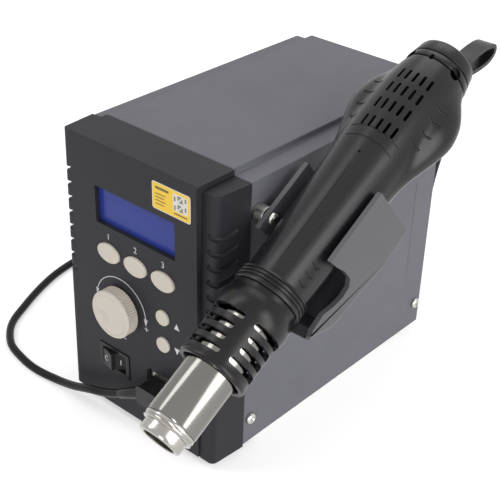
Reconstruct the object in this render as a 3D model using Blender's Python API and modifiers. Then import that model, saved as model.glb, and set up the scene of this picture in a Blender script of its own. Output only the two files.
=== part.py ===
"""Hot air rework station: a control case, a side cradle and the hot air handset that rests in it.

+X is to the right as seen from the front, +Y is to the rear and +Z is up. The front panel faces -Y.
The case frame has its origin under the middle of the case, level with the underside of the case.
Lengths are in metres: a size in millimetres is written as a number times MM.
"""
import math

import bmesh
import bpy
from mathutils import Matrix, Vector

MM = 0.001
GAP = 0.3 * MM
OVERLAP = 0.5 * MM
CUT_PAST = 3.0 * MM

# Case: a folded sheet cover with a raised centre, on a folded base pan
CASE_HALF_WIDTH = 51.0 * MM
CASE_FRONT_Y = -88.5 * MM
CASE_REAR_Y = 88.5 * MM
SHOULDER_HEIGHT = 150.0 * MM
TOP_STEP = 3.0 * MM
SHOULDER_WIDTH = 10.7 * MM
TOP_HALF_WIDTH = CASE_HALF_WIDTH - SHOULDER_WIDTH
SHEET = 1.2 * MM
PAN_FLANGE_HEIGHT = 22.0 * MM
REAR_PANEL_INSET = 1.2 * MM
CORNER_ARC_STEPS = 2

# Bezel: the moulded frame at the front of the case
BEZEL_DEPTH = 20.7 * MM
BEZEL_PROUD_REAR = 0.9 * MM
BEZEL_INSET_FRONT = 0.4 * MM
BEZEL_CORNER_RADIUS = 3.0 * MM
BEZEL_WALL = 2.5 * MM
BEZEL_LIP_LENGTH = 11.3 * MM
BEZEL_LIP_WALL = 2.2 * MM
RECESS_DEPTH = 3.2 * MM
WINDOW_HALF_WIDTH = 37.0 * MM
WINDOW_BOTTOM = 12.0 * MM
WINDOW_TOP = 141.0 * MM
GROOVE_COUNT = 8
GROOVE_PITCH = 8.0 * MM
GROOVE_FIRST_Z = 129.0 * MM
GROOVE_HEIGHT = 3.2 * MM
GROOVE_DEPTH = 1.5 * MM
GROOVE_ON_FRONT = 2.6 * MM
GROOVE_ON_SIDE = 10.5 * MM

# Front panel: it leans forward towards its top and carries the raised strip along the top
PANEL_FROM_SIDE = 9.5 * MM
PANEL_HALF_WIDTH = CASE_HALF_WIDTH - PANEL_FROM_SIDE
PANEL_PROUD_BOTTOM = 0.8 * MM
PANEL_PROUD_TOP = 4.0 * MM
PANEL_WALL = 2.5 * MM
PANEL_BOTTOM_Z = 0.5 * MM
PANEL_EDGE = 1.1 * MM
PANEL_CENTRE_X = 1.4 * MM

# Screen
SCREEN_WIDTH = 52.8 * MM
SCREEN_HEIGHT = 19.8 * MM
SCREEN_Z = 120.0 * MM
SCREEN_OVERLAP = 2.4 * MM
WINDOW_THICKNESS = 1.2 * MM
LCD_THICKNESS = 5.0 * MM
LCD_MARGIN = 3.2 * MM

# Buttons
BUTTON_STEPS = 14
CHANNEL_PITCH = 18.4 * MM
CHANNEL_Z = 95.5 * MM
CHANNEL_HALF_WIDTH = 7.5 * MM
CHANNEL_HALF_HEIGHT = 5.1 * MM
CHANNEL_PROUD = 1.3 * MM
STEP_BUTTON_X = 18.9 * MM
STEP_BUTTON_Z = (74.5 * MM, 58.7 * MM)
STEP_BUTTON_RADIUS = 4.15 * MM
STEP_BUTTON_PROUD = 1.2 * MM
BUTTON_TRAVEL = 0.8 * MM
BUTTON_FLANGE = 1.0 * MM
BUTTON_FLANGE_THICKNESS = 0.9 * MM
STEM_RADIUS = 1.8 * MM
SWITCH_HALF_SIDE = 3.0 * MM
SWITCH_HEIGHT = 4.0 * MM

# Control knob on its encoder
KNOB_X = -10.3 * MM
KNOB_Z = 65.9 * MM
KNOB_RADIUS = 12.95 * MM
KNOB_HEIGHT = 8.0 * MM
KNOB_FLUTES = 24
KNOB_FLUTE_DEPTH = 0.45 * MM
KNOB_RIM = 1.3 * MM
KNOB_RIM_PROUD = 0.15 * MM
KNOB_UNDERSIDE = 0.7 * MM
DIMPLE_RADIUS = 5.0 * MM
DIMPLE_DEPTH = 0.9 * MM
DIMPLE_FROM_CENTRE = 8.0 * MM
SHAFT_RADIUS = 3.0 * MM
SHAFT_IN_KNOB = 5.0 * MM
ENCODER_HALF_SIDE = 6.2 * MM

# Power rocker switch
ROCKER_X = -17.05 * MM
ROCKER_Z = 30.9 * MM
ROCKER_FLANGE = (21.6 * MM, 14.9 * MM)
ROCKER_BODY = (19.0 * MM, 12.6 * MM)
ROCKER_MOUTH = (16.6 * MM, 10.6 * MM)
ROCKER_FLANGE_THICKNESS = 1.4 * MM
ROCKER_FLANGE_PROUD = 0.5 * MM
ROCKER_BODY_DEPTH = 15.0 * MM
ROCKER_PIVOT_DEPTH = 4.0 * MM
ROCKER_CREST = 3.0 * MM

# Handset socket and the plug in it
SOCKET_CENTRE = (19.3 * MM, 31.1 * MM)
SOCKET_RECESS = (26.0 * MM, 15.8 * MM)
SOCKET_SHELL = (19.0 * MM, 12.0 * MM)
SOCKET_SHELL_WALL = 1.0 * MM
SOCKET_FRONT_DEPTH = 0.8 * MM
SOCKET_BODY_DEPTH = 16.0 * MM
PLUG_REACH = 9.0 * MM
PLUG_PROUD = 12.0 * MM
PLUG_GRIP = (17.4 * MM, 11.0 * MM)

# Control board behind the panel
BOARD_THICKNESS = 1.6 * MM
CONTROL_BOARD = (33.0 * MM, 46.0 * MM, 138.0 * MM)

# Inside the case
TRANSFORMER_CORE = (56.0 * MM, 46.0 * MM, 34.0 * MM)
TRANSFORMER_BOBBIN = (38.0 * MM, 62.0 * MM, 26.0 * MM)
TRANSFORMER_Y = 34.0 * MM
DRIVER_BOARD = (76.0 * MM, 60.0 * MM)
DRIVER_BOARD_Y = -22.0 * MM
HEAT_SINK = (24.0 * MM, 22.0 * MM, 22.0 * MM)
HEAT_SINK_FROM_SIDE = 6.0 * MM
HEAT_SINK_FROM_MIDDLE = 6.0 * MM
CAPACITOR_RADIUS = 6.5 * MM
CAPACITOR_HEIGHT = 18.0 * MM
CAPACITOR_FROM_SIDE = 14.0 * MM
STANDOFF_HEIGHT = 7.0 * MM
STANDOFF_RADIUS = 3.0 * MM
STANDOFF_INSET = 5.0 * MM

# Rear panel and mains inlet
INLET_X = 22.0 * MM
INLET_Z = 30.0 * MM
INLET_FLANGE = (31.0 * MM, 24.0 * MM)
INLET_BODY = (27.2 * MM, 20.0 * MM)
INLET_MOUTH = (24.0 * MM, 16.2 * MM)
INLET_FLANGE_THICKNESS = 1.2 * MM
INLET_DEPTH = 15.0 * MM
INLET_FLOOR = 2.0 * MM
PIN_SPREAD = 7.0 * MM
PIN_SIZE = (1.6 * MM, 4.0 * MM)
VENT_ROWS = 7
VENT_ROW_PITCH = 8.0 * MM
VENT_LENGTH = 30.0 * MM
VENT_HEIGHT = 3.0 * MM
VENT_COLUMN_X = 19.0 * MM
VENT_FIRST_Z = 80.0 * MM

# Feet and screws
FOOT_RADIUS = 6.5 * MM
FOOT_HEIGHT = 3.7 * MM
FOOT_FROM_SIDE = 14.0 * MM
FOOT_X = CASE_HALF_WIDTH - FOOT_FROM_SIDE
FOOT_Y = (-73.0 * MM, 72.0 * MM)
SCREW_HEAD_RADIUS = 3.0 * MM
SCREW_HEAD_HEIGHT = 1.9 * MM
SCREW_SHANK_RADIUS = 1.5 * MM
SCREW_SHANK_LENGTH = 6.5 * MM
COVER_SCREW_Y = (-62.3 * MM, 82.9 * MM)
COVER_SCREW_Z = 15.0 * MM

# Handset axis: where it passes the hot air outlet, how steeply it rises and how far it is rolled
CRADLE_STANDOFF = 6.5 * MM
CRADLE_HALF_WIDTH = 21.5 * MM
CRADLE_X = CASE_HALF_WIDTH + CRADLE_STANDOFF + CRADLE_HALF_WIDTH
OUTLET_FROM_CRADLE = 0.45 * MM
OUTLET_BEFORE_CASE = 62.29 * MM
OUTLET_BELOW_SHOULDER = 75.49 * MM
OUTLET = Vector((CRADLE_X + OUTLET_FROM_CRADLE, CASE_FRONT_Y - OUTLET_BEFORE_CASE,
                 SHOULDER_HEIGHT - OUTLET_BELOW_SHOULDER))
AXIS_RISE = math.radians(30.53)
HANDSET_ROLL = math.radians(11.5)
SHELL_WALL = 2.0 * MM
HOUSING_WIDTHS = [(80.0, 15.5), (96.0, 15.8), (113.0, 16.4), (130.0, 17.2), (145.0, 18.3), (154.0, 20.1),
                  (162.5, 22.6), (171.5, 25.3), (180.0, 26.6), (188.8, 25.0), (195.0, 22.2), (202.0, 17.9),
                  (206.4, 15.9)]
RIDGE_HEIGHTS = [(80.0, 15.5), (96.0, 15.8), (113.0, 16.4), (130.0, 17.2), (145.0, 18.0), (154.0, 18.6),
                 (162.5, 19.0), (171.5, 19.2), (180.0, 19.2), (188.8, 18.8), (195.0, 18.2), (202.0, 17.0),
                 (206.4, 15.9)]
LOBE_FLATTEN = 0.50
SHELL_STEPS = 14
VENT_ANGLES = (-24.0, -12.0, 0.0, 12.0, 24.0)
VENT_STATIONS = (163.0 * MM, 173.5 * MM, 183.3 * MM, 192.3 * MM)
VENT_SLOT = (1.35 * MM, 6.2 * MM)

# Hot end
HOT_END_STEPS = 18
TUBE_RADIUS = 12.2 * MM
TUBE_WALL = 0.8 * MM
TUBE_START = 5.3 * MM
TUBE_END = 84.0 * MM
OUTLET_RADIUS = 7.8 * MM
LIP_RADIUS = 10.3 * MM
LIP_START = -3.5 * MM
BEAD_RADIUS = 12.1 * MM
CORE_START = 4.6 * MM
CORE_END = 66.0 * MM
GUARD_WALL = 2.0 * MM
GUARD_RADIUS = 16.2 * MM
GUARD_BULGE_RADIUS = 17.5 * MM
GUARD_BULGE_FROM_END = 9.8 * MM
GUARD_NECK_RADIUS = 15.7 * MM
GUARD_START = 32.4 * MM
GUARD_END = 72.3 * MM
GUARD_SLOT_STATIONS = (39.1 * MM, 44.9 * MM, 50.7 * MM, 56.7 * MM)
GUARD_SLOT_HALF_ANGLES = (36.0, 31.0, 31.0, 36.0)
GUARD_SLOT_HEIGHT = 3.1 * MM
GUARD_COLUMNS = 4
GUARD_SPINE_ANGLE = 21.5
RIBBED_RADIUS = 17.0 * MM
RIBBED_LENGTH = 7.1 * MM
RIB_COUNT = 3
RIB_GROOVE = 0.8 * MM
SPIGOT_LENGTH = 10.0 * MM

# Blower in the fan housing
MOTOR_RADIUS = 9.0 * MM
MOTOR_LENGTH = 13.0 * MM
MOTOR_TO_CAP = 10.0 * MM
MOTOR_FLANGE_THICKNESS = 1.6 * MM
MOTOR_SHAFT_RADIUS = 1.5 * MM
IMPELLER_RADIUS = 15.5 * MM
IMPELLER_LENGTH = 10.0 * MM
IMPELLER_TO_MOTOR = 2.0 * MM
IMPELLER_BLADES = 9
IMPELLER_HUB_RADIUS = 5.0 * MM
BLADE_THICKNESS = 1.2 * MM
BLADE_SWEEP = math.radians(34.0)

# End cap, hanging loop and cord gland of the handset
CAP_START = 207.0 * MM
MOTOR_END = CAP_START - MOTOR_TO_CAP
MOTOR_START = MOTOR_END - MOTOR_LENGTH
IMPELLER_START = MOTOR_START - IMPELLER_TO_MOTOR - IMPELLER_LENGTH
CAP_SIDE_END = 217.0 * MM
CAP_END = 220.0 * MM
CAP_START_RADIUS = 16.2 * MM
CAP_END_RADIUS = 14.6 * MM
CAP_WALL = 2.0 * MM
LOOP_WIDTH = 9.0 * MM
LOOP_THICKNESS = 2.1 * MM
LOOP_OUTLINE = [(221.0, 7.4), (226.0, 8.6), (232.0, 9.6), (240.0, 12.2), (246.8, 15.6), (250.3, 19.4),
                (248.6, 23.2), (243.0, 24.1), (236.0, 22.0), (229.5, 18.9), (224.6, 16.2), (221.2, 13.4)]
LOOP_STEM = (7.8 * MM, 12.6 * MM)
LOOP_STEM_START = 215.5 * MM
GLAND_AXIS_START = 204.0 * MM
GLAND_DIRECTION = Vector((-0.332, 0.818, 0.470)).normalized()
GLAND_INNER = 14.2 * MM
GLAND_LENGTH = 26.0 * MM
GLAND_RADIUS = 3.4 * MM
GLAND_TIP_RADIUS = 2.7 * MM

# Cradle: a channel with a C-shaped cut-out at its front; points are (along the axis, below the axis)
CRADLE_WALL = 2.4 * MM
CRADLE_OUTLINE = [(136.2, -9.9), (142.1, 31.4), (123.3, 33.2), (103.6, 30.1), (84.3, 27.8), (70.8, 18.2),
                  (70.9, 13.6), (73.9, 11.7), (82.1, 10.9), (89.0, 14.0), (94.9, 15.4), (100.2, 14.6),
                  (102.6, 11.0), (101.6, 4.0), (98.6, -4.0), (97.4, -9.2), (100.9, -9.6)]
CRADLE_BOTTOM_POINTS = (1, 2, 3, 4, 5)
CRADLE_BEND = 6.0 * MM
CRADLE_BEND_STEPS = 3
LIP_LENGTH = 5.2 * MM
SADDLE_STATION = 133.5 * MM
SADDLE_THICKNESS = 3.0 * MM
SADDLE_TOP = 9.0 * MM
SADDLE_HALF_WIDTH = 17.5 * MM
SPACER_POINTS = [(106.0 * MM, -6.0 * MM), (124.0 * MM, 24.0 * MM)]
SPACER_RADIUS = 4.5 * MM

# Cord: its diameter and the points it was laid through by hand, in the case frame
CORD_DIAMETER = 4.5 * MM
LEAD_ROUTE = [(10.2, -96.8, 28.6), (-6.5, -97.0, 18.9), (-17.5, -97.2, 13.6), (-30.0, -97.4, 9.4),
              (-43.0, -96.6, 4.0), (-57.6, -95.6, -0.4), (-74.7, -96.6, -1.6),
              (-89.7, -95.0, -1.6), (-104.5, -90.4, -1.6),
              (-118.8, -78.3, -1.6), (-128.6, -60.4, -1.6), (-136.6, -42.4, -1.6), (-142.6, -24.0, -1.6),
              (-145.5, -4.0, -1.6), (-145.0, 20.0, -1.6), (-140.5, 46.0, -1.6), (-131.0, 74.0, -1.6),
              (-116.0, 100.0, -1.6), (-97.0, 124.0, -1.6), (-75.0, 142.0, -1.4), (-60.0, 149.2, 0.2),
              (-45.8, 150.8, 1.2)]
RISE_ROUTE = [(61.6, 68.5, 153.6), (58.2, 79.0, 145.6), (54.8, 88.6, 134.6), (50.2, 96.0, 120.5),
              (44.6, 101.0, 103.5), (39.6, 104.6, 84.0), (35.8, 107.6, 63.0), (32.0, 111.0, 42.0),
              (27.5, 115.0, 23.0), (21.0, 119.5, 8.6), (13.0, 123.6, 1.6)]
COIL_CENTRE = Vector((-25.0 * MM, 125.0 * MM, 0.0))
COIL_MID_RADIUS = 25.0 * MM
COIL_SECTION = 9.0 * MM
CORD_STEP = 15.0 * MM

CORD_NODES = ("cord_lead", "cord_coil", "cord_rise", "cord_plug", "plug_relief")

PAINTS = {
    "cover_grey": ((0.155, 0.160, 0.175), 0.55, 0.0),
    "bezel_black": ((0.045, 0.045, 0.050), 0.50, 0.0),
    "satin_black": ((0.030, 0.030, 0.032), 0.35, 0.0),
    "soft_black": ((0.020, 0.020, 0.020), 0.60, 0.0),
    "button_cream": ((0.560, 0.520, 0.470), 0.45, 0.0),
    "screen_blue": ((0.060, 0.080, 0.270), 0.15, 0.0),
    "polished_steel": ((0.700, 0.690, 0.670), 0.15, 1.0),
    "zinc": ((0.620, 0.620, 0.600), 0.35, 1.0),
    "ceramic": ((0.620, 0.560, 0.450), 0.80, 0.0),
    "board_green": ((0.020, 0.130, 0.050), 0.50, 0.0),
    "winding": ((0.250, 0.180, 0.060), 0.50, 0.0),
    "cradle_grey": ((0.130, 0.130, 0.135), 0.55, 0.0),
}


def start_scene():
    """Remove what the scene holds and make the two collections."""
    for old in list(bpy.data.objects):
        bpy.data.objects.remove(old, do_unlink=True)
    made = []
    for name in ("hot_air_rework_station", "cutters"):
        collection = bpy.data.collections.new(name)
        bpy.context.scene.collection.children.link(collection)
        made.append(collection)
    return made


PART, CUTTERS = start_scene()


def make_paint(name):
    """A Principled material from the table of paints."""
    colour, roughness, metallic = PAINTS[name]
    made = bpy.data.materials.new(name)
    made.use_nodes = True
    shader = made.node_tree.nodes["Principled BSDF"]
    shader.inputs["Base Color"].default_value = (*colour, 1.0)
    shader.inputs["Roughness"].default_value = roughness
    shader.inputs["Metallic"].default_value = metallic
    return made


MATERIALS = {name: make_paint(name) for name in PAINTS}


def make_empty(name, location, rotation, parent=None):
    """An empty that places the pieces of one group."""
    empty = bpy.data.objects.new(name, None)
    empty.empty_display_size = 10 * MM
    empty.location = location
    empty.rotation_euler = rotation
    empty.parent = parent
    PART.objects.link(empty)
    return empty


def settle(thing, smooth_angle=35.0):
    """Turn a curve or a mesh with modifiers into a plain mesh object, with its round parts shaded smooth."""
    CUTTERS.objects.link(thing)
    bpy.context.view_layer.update()
    graph = bpy.context.evaluated_depsgraph_get()
    mesh = bpy.data.meshes.new_from_object(thing.evaluated_get(graph))
    form = bmesh.new()
    form.from_mesh(mesh)
    bmesh.ops.remove_doubles(form, verts=form.verts, dist=0.001 * MM)
    form.to_mesh(mesh)
    form.free()
    mesh.shade_smooth()
    mesh.set_sharp_from_angle(angle=math.radians(smooth_angle))
    made = bpy.data.objects.new(thing.name, mesh)
    name = thing.name
    placed = thing.matrix_basis.copy()
    parent = thing.parent
    bpy.data.objects.remove(thing, do_unlink=True)
    made.name = name
    made.parent = parent
    made.matrix_basis = placed
    return made


def place(thing, name, paint, parent, location=(0, 0, 0), rotation=(0, 0, 0)):
    """Put a finished piece in the part's collection, or a cutter (no paint) in the cutters' one."""
    thing.name = name
    thing.parent = parent
    thing.location = location
    thing.rotation_euler = rotation
    if paint is None:
        thing.hide_render = True
        thing.display_type = "WIRE"
        CUTTERS.objects.link(thing)
    else:
        thing.data.materials.clear()
        thing.data.materials.append(MATERIALS[paint])
        PART.objects.link(thing)
    return thing


def box_between(name, low, high, paint=None, parent=None):
    """A box from its lowest to its highest corner, made from the cube primitive."""
    form = bmesh.new()
    size = [high[i] - low[i] for i in range(3)]
    middle = Vector([(high[i] + low[i]) / 2 for i in range(3)])
    stretch = Matrix.Translation(middle) @ Matrix.Diagonal((*size, 1.0))
    bmesh.ops.create_cube(form, size=1.0, matrix=stretch)
    mesh = bpy.data.meshes.new(name)
    form.to_mesh(mesh)
    form.free()
    return place(bpy.data.objects.new(name, mesh), name, paint, parent)


PLANES = {
    "XY": Matrix(((1, 0, 0), (0, 1, 0), (0, 0, 1))),
    "XZ": Matrix(((1, 0, 0), (0, 0, -1), (0, 1, 0))),
    "YZ": Matrix(((0, 0, 1), (1, 0, 0), (0, 1, 0))),
    "ZY": Matrix(((0, 0, -1), (0, 1, 0), (1, 0, 0))),
}


def prism(name, outlines, plane, start, end, paint=None, parent=None):
    """A flat outline, with any holes, drawn in a plane and extruded along that plane's normal.

    start and end are the two faces' places along the axis that the plane leaves out.
    """
    curve = bpy.data.curves.new(name, "CURVE")
    curve.dimensions = "2D"
    curve.fill_mode = "BOTH"
    curve.extrude = abs(end - start) / 2
    for outline in outlines:
        spline = curve.splines.new("POLY")
        spline.points.add(len(outline) - 1)
        for point, (u, v) in zip(spline.points, outline):
            point.co = (u, v, 0.0, 1.0)
        spline.use_cyclic_u = True
    thing = settle(bpy.data.objects.new(name, curve))
    along = {"XY": (0, 0, 1), "XZ": (0, 1, 0), "YZ": (1, 0, 0), "ZY": (1, 0, 0)}[plane]
    shift = Vector(along) * (start + end) / 2
    thing.data.transform(Matrix.Translation(shift) @ PLANES[plane].to_4x4())
    return place(thing, name, paint, parent)


def turned(name, profile, steps, paint=None, parent=None, location=(0, 0, 0), rotation=(0, 0, 0),
           ring=False, stretch=1.0):
    """A profile of (radius, height) points turned about Z; it runs down its outer side first."""
    mesh = bpy.data.meshes.new(name)
    form = bmesh.new()
    points = [form.verts.new((radius, 0.0, height)) for radius, height in profile]
    for first, second in zip(points, points[1:]):
        form.edges.new((first, second))
    if ring:
        form.edges.new((points[-1], points[0]))
    form.to_mesh(mesh)
    form.free()
    thing = bpy.data.objects.new(name, mesh)
    screw = thing.modifiers.new("turn", "SCREW")
    screw.axis = "Z"
    screw.angle = math.tau
    screw.steps = steps
    screw.render_steps = steps
    screw.use_merge_vertices = True
    screw.merge_threshold = 0.001 * MM
    thing = settle(thing)
    thing.data.transform(Matrix.Diagonal((1.0, stretch, 1.0, 1.0)))
    return place(thing, name, paint, parent, location, rotation)


def rod(name, radius, low, high, steps=16, paint=None, parent=None, location=(0, 0, 0), rotation=(0, 0, 0)):
    """A plain round rod along its own Z axis."""
    profile = [(0.0, high), (radius, high), (radius, low), (0.0, low)]
    return turned(name, profile, steps, paint, parent, location, rotation)


def loft(name, rings, paint=None, parent=None, closed=True, capped=True):
    """A skin through rings of equal point counts; a closed and capped one is a solid."""
    form = bmesh.new()
    rows = [[form.verts.new(point) for point in ring] for ring in rings]
    count = len(rows[0])
    spans = count if closed else count - 1
    for near, far in zip(rows, rows[1:]):
        for i in range(spans):
            j = (i + 1) % count
            form.faces.new((near[i], near[j], far[j], far[i]))
    if capped:
        form.faces.new(list(reversed(rows[0])))
        form.faces.new(rows[-1])
    bmesh.ops.recalc_face_normals(form, faces=form.faces)
    mesh = bpy.data.meshes.new(name)
    form.to_mesh(mesh)
    form.free()
    mesh.shade_smooth()
    mesh.set_sharp_from_angle(angle=math.radians(35.0))
    return place(bpy.data.objects.new(name, mesh), name, paint, parent)


def tube(name, points, diameter, paint, parent=None):
    """A round cord along a list of points, with filled caps."""
    curve = bpy.data.curves.new(name, "CURVE")
    curve.dimensions = "3D"
    curve.bevel_depth = diameter / 2
    curve.bevel_resolution = 2
    curve.use_fill_caps = True
    spline = curve.splines.new("POLY")
    spline.points.add(len(points) - 1)
    for point, place_of in zip(spline.points, points):
        point.co = (*place_of, 1.0)
    thing = settle(bpy.data.objects.new(name, curve))
    return place(thing, name, paint, parent)


def merged(name, things, parent=None):
    """Several cutters that don't meet, as one cutter object."""
    form = bmesh.new()
    for thing in things:
        mesh = thing.data.copy()
        mesh.transform(thing.matrix_basis)
        form.from_mesh(mesh)
        bpy.data.meshes.remove(mesh)
        bpy.data.objects.remove(thing, do_unlink=True)
    mesh = bpy.data.meshes.new(name)
    form.to_mesh(mesh)
    form.free()
    return place(bpy.data.objects.new(name, mesh), name, None, parent)


def boolean(target, other, operation):
    """Cut or join two pieces with the exact solver."""
    if other.name not in CUTTERS.objects:
        PART.objects.unlink(other)
        CUTTERS.objects.link(other)
    other.hide_render = True
    other.display_type = "WIRE"
    step = target.modifiers.new(other.name, "BOOLEAN")
    step.operation = operation
    step.object = other
    step.solver = "EXACT"
    return target


def cut(target, other):
    return boolean(target, other, "DIFFERENCE")


def join(target, other):
    return boolean(target, other, "UNION")


def soften(thing, width, segments=2, angle=40.0):
    """Round the sharp edges of a piece."""
    bevel = thing.modifiers.new("soften", "BEVEL")
    bevel.width = width
    bevel.segments = segments
    bevel.limit_method = "ANGLE"
    bevel.angle_limit = math.radians(angle)
    return thing


def smooth_through(points, per_span):
    """Points along a smooth curve that passes through each given point."""
    points = [Vector(point) for point in points]
    before = points[0] * 2 - points[1]
    after = points[-1] * 2 - points[-2]
    padded = [before, *points, after]
    made = []
    for i in range(1, len(padded) - 2):
        p0, p1, p2, p3 = padded[i - 1:i + 3]
        for k in range(per_span):
            t = k / per_span
            made.append(0.5 * (2 * p1 + (p2 - p0) * t + (2 * p0 - 5 * p1 + 4 * p2 - p3) * t * t
                               + (3 * p1 - p0 - 3 * p2 + p3) * t * t * t))
    made.append(points[-1])
    return made


def evenly_spaced(points, step):
    """The same path with a point about every step along it."""
    lengths = [0.0]
    for first, second in zip(points, points[1:]):
        lengths.append(lengths[-1] + (second - first).length)
    count = max(2, round(lengths[-1] / step))
    made = []
    at = 0
    for k in range(count + 1):
        wanted = lengths[-1] * k / count
        while at < len(points) - 2 and lengths[at + 1] < wanted:
            at += 1
        span = lengths[at + 1] - lengths[at]
        made.append(points[at].lerp(points[at + 1], (wanted - lengths[at]) / span))
    return made


def rounded_rectangle(centre, size, radius, steps=4):
    """The outline of a rectangle with round corners."""
    outline = []
    for k, (side, rise) in enumerate(((1, 1), (-1, 1), (-1, -1), (1, -1))):
        corner = (centre[0] + side * (size[0] / 2 - radius), centre[1] + rise * (size[1] / 2 - radius))
        for i in range(steps + 1):
            angle = math.pi / 2 * (k + i / steps)
            outline.append((corner[0] + radius * math.cos(angle), corner[1] + radius * math.sin(angle)))
    return outline


def cover_section(inset):
    """The outer line of the cover, moved inwards, from its left foot over the top to its right foot."""
    side = CASE_HALF_WIDTH - inset
    shoulder = SHOULDER_HEIGHT - inset
    raised = TOP_HALF_WIDTH - inset
    top = SHOULDER_HEIGHT + TOP_STEP - inset
    return [(-side, 0.0), (-side, shoulder), (-raised, shoulder), (-raised, top),
            (raised, top), (raised, shoulder), (side, shoulder), (side, 0.0)]


BEZEL_REAR_Y = CASE_FRONT_Y + BEZEL_DEPTH
COVER_FRONT_Y = BEZEL_REAR_Y + GAP
PAN_FRONT_Y = BEZEL_REAR_Y + BEZEL_LIP_LENGTH + GAP
INNER_HALF_WIDTH = CASE_HALF_WIDTH - SHEET - GAP
SIDE_FACING_RIGHT = (0, math.pi / 2, 0)
SIDE_FACING_LEFT = (0, -math.pi / 2, 0)
FACING_FRONT = (math.pi / 2, 0, 0)
FACING_REAR = (-math.pi / 2, 0, 0)


def bracket_holes(name):
    """Cutters for the cradle's screws where they pass through the right side of the case."""
    holes = [rod("bracket_hole", SCREW_SHANK_RADIUS + GAP, -CUT_PAST * 2, CUT_PAST, 12, None, None,
                 (CASE_HALF_WIDTH, *spacer_place(point)), SIDE_FACING_RIGHT) for point in SPACER_POINTS]
    return merged(name, holes)


def make_cover():
    section = cover_section(0.0) + list(reversed(cover_section(SHEET)))
    cover = prism("top_cover", [section], "XZ", COVER_FRONT_Y, CASE_REAR_Y, "cover_grey")
    holes = [rod("cover_hole", SCREW_SHANK_RADIUS + GAP, -CUT_PAST, CUT_PAST, 12, None, None,
                 (side * CASE_HALF_WIDTH, y, COVER_SCREW_Z), SIDE_FACING_RIGHT)
             for side in (-1, 1) for y in COVER_SCREW_Y]
    cut(cover, merged("cover_holes", holes))
    cut(cover, bracket_holes("cover_bracket_holes"))


def make_base_pan():
    side = INNER_HALF_WIDTH
    inner = side - SHEET
    section = [(-side, PAN_FLANGE_HEIGHT), (-side, 0.0), (side, 0.0), (side, PAN_FLANGE_HEIGHT),
               (inner, PAN_FLANGE_HEIGHT), (inner, SHEET), (-inner, SHEET), (-inner, PAN_FLANGE_HEIGHT)]
    pan = prism("base_pan", [section], "XZ", PAN_FRONT_Y, CASE_REAR_Y - REAR_PANEL_INSET - SHEET - GAP,
                "zinc")
    for i, (x, y) in enumerate(driver_board_corners()):
        join(pan, rod(f"standoff_{i + 1}", STANDOFF_RADIUS, SHEET - OVERLAP, SHEET + STANDOFF_HEIGHT, 12,
                      "zinc", None, (x, y, 0)))
    holes = [rod("pan_hole", SCREW_SHANK_RADIUS + GAP, -CUT_PAST, CUT_PAST, 12, None, None,
                 (way * side, COVER_SCREW_Y[1], COVER_SCREW_Z), SIDE_FACING_RIGHT) for way in (-1, 1)]
    cut(pan, merged("pan_holes", holes))


def bezel_plan():
    """The bezel seen from above: it widens to the rear and has round front corners."""
    rear = CASE_HALF_WIDTH + BEZEL_PROUD_REAR
    front = CASE_HALF_WIDTH - BEZEL_INSET_FRONT
    radius = BEZEL_CORNER_RADIUS
    right = [(rear, BEZEL_REAR_Y)]
    for k in range(CORNER_ARC_STEPS + 1):
        angle = math.pi / 2 * k / CORNER_ARC_STEPS
        right.append((front - radius + radius * math.cos(angle),
                      CASE_FRONT_Y + radius - radius * math.sin(angle)))
    return right + [(-x, y) for x, y in reversed(right)]


def groove_plan(side):
    """One corner groove seen from above: a short leg on the front and a long one on the side."""
    outer = CASE_HALF_WIDTH + CUT_PAST
    front = CASE_FRONT_Y - CUT_PAST
    depth_x = CASE_HALF_WIDTH - GROOVE_DEPTH
    depth_y = CASE_FRONT_Y + GROOVE_DEPTH
    end_x = CASE_HALF_WIDTH - BEZEL_INSET_FRONT - BEZEL_CORNER_RADIUS - GROOVE_ON_FRONT
    end_y = CASE_FRONT_Y + BEZEL_CORNER_RADIUS + GROOVE_ON_SIDE
    corner = GROOVE_DEPTH
    points = [(end_x, front), (end_x + corner * 0.3, depth_y - corner * 0.4), (end_x + corner, depth_y),
              (depth_x - BEZEL_CORNER_RADIUS, depth_y), (depth_x - BEZEL_CORNER_RADIUS * 0.3,
                                                         depth_y + BEZEL_CORNER_RADIUS * 0.3),
              (depth_x, depth_y + BEZEL_CORNER_RADIUS), (depth_x, end_y - corner * 3),
              (outer, end_y), (outer, front)]
    return [(side * x, y) for x, y in points]


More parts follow.
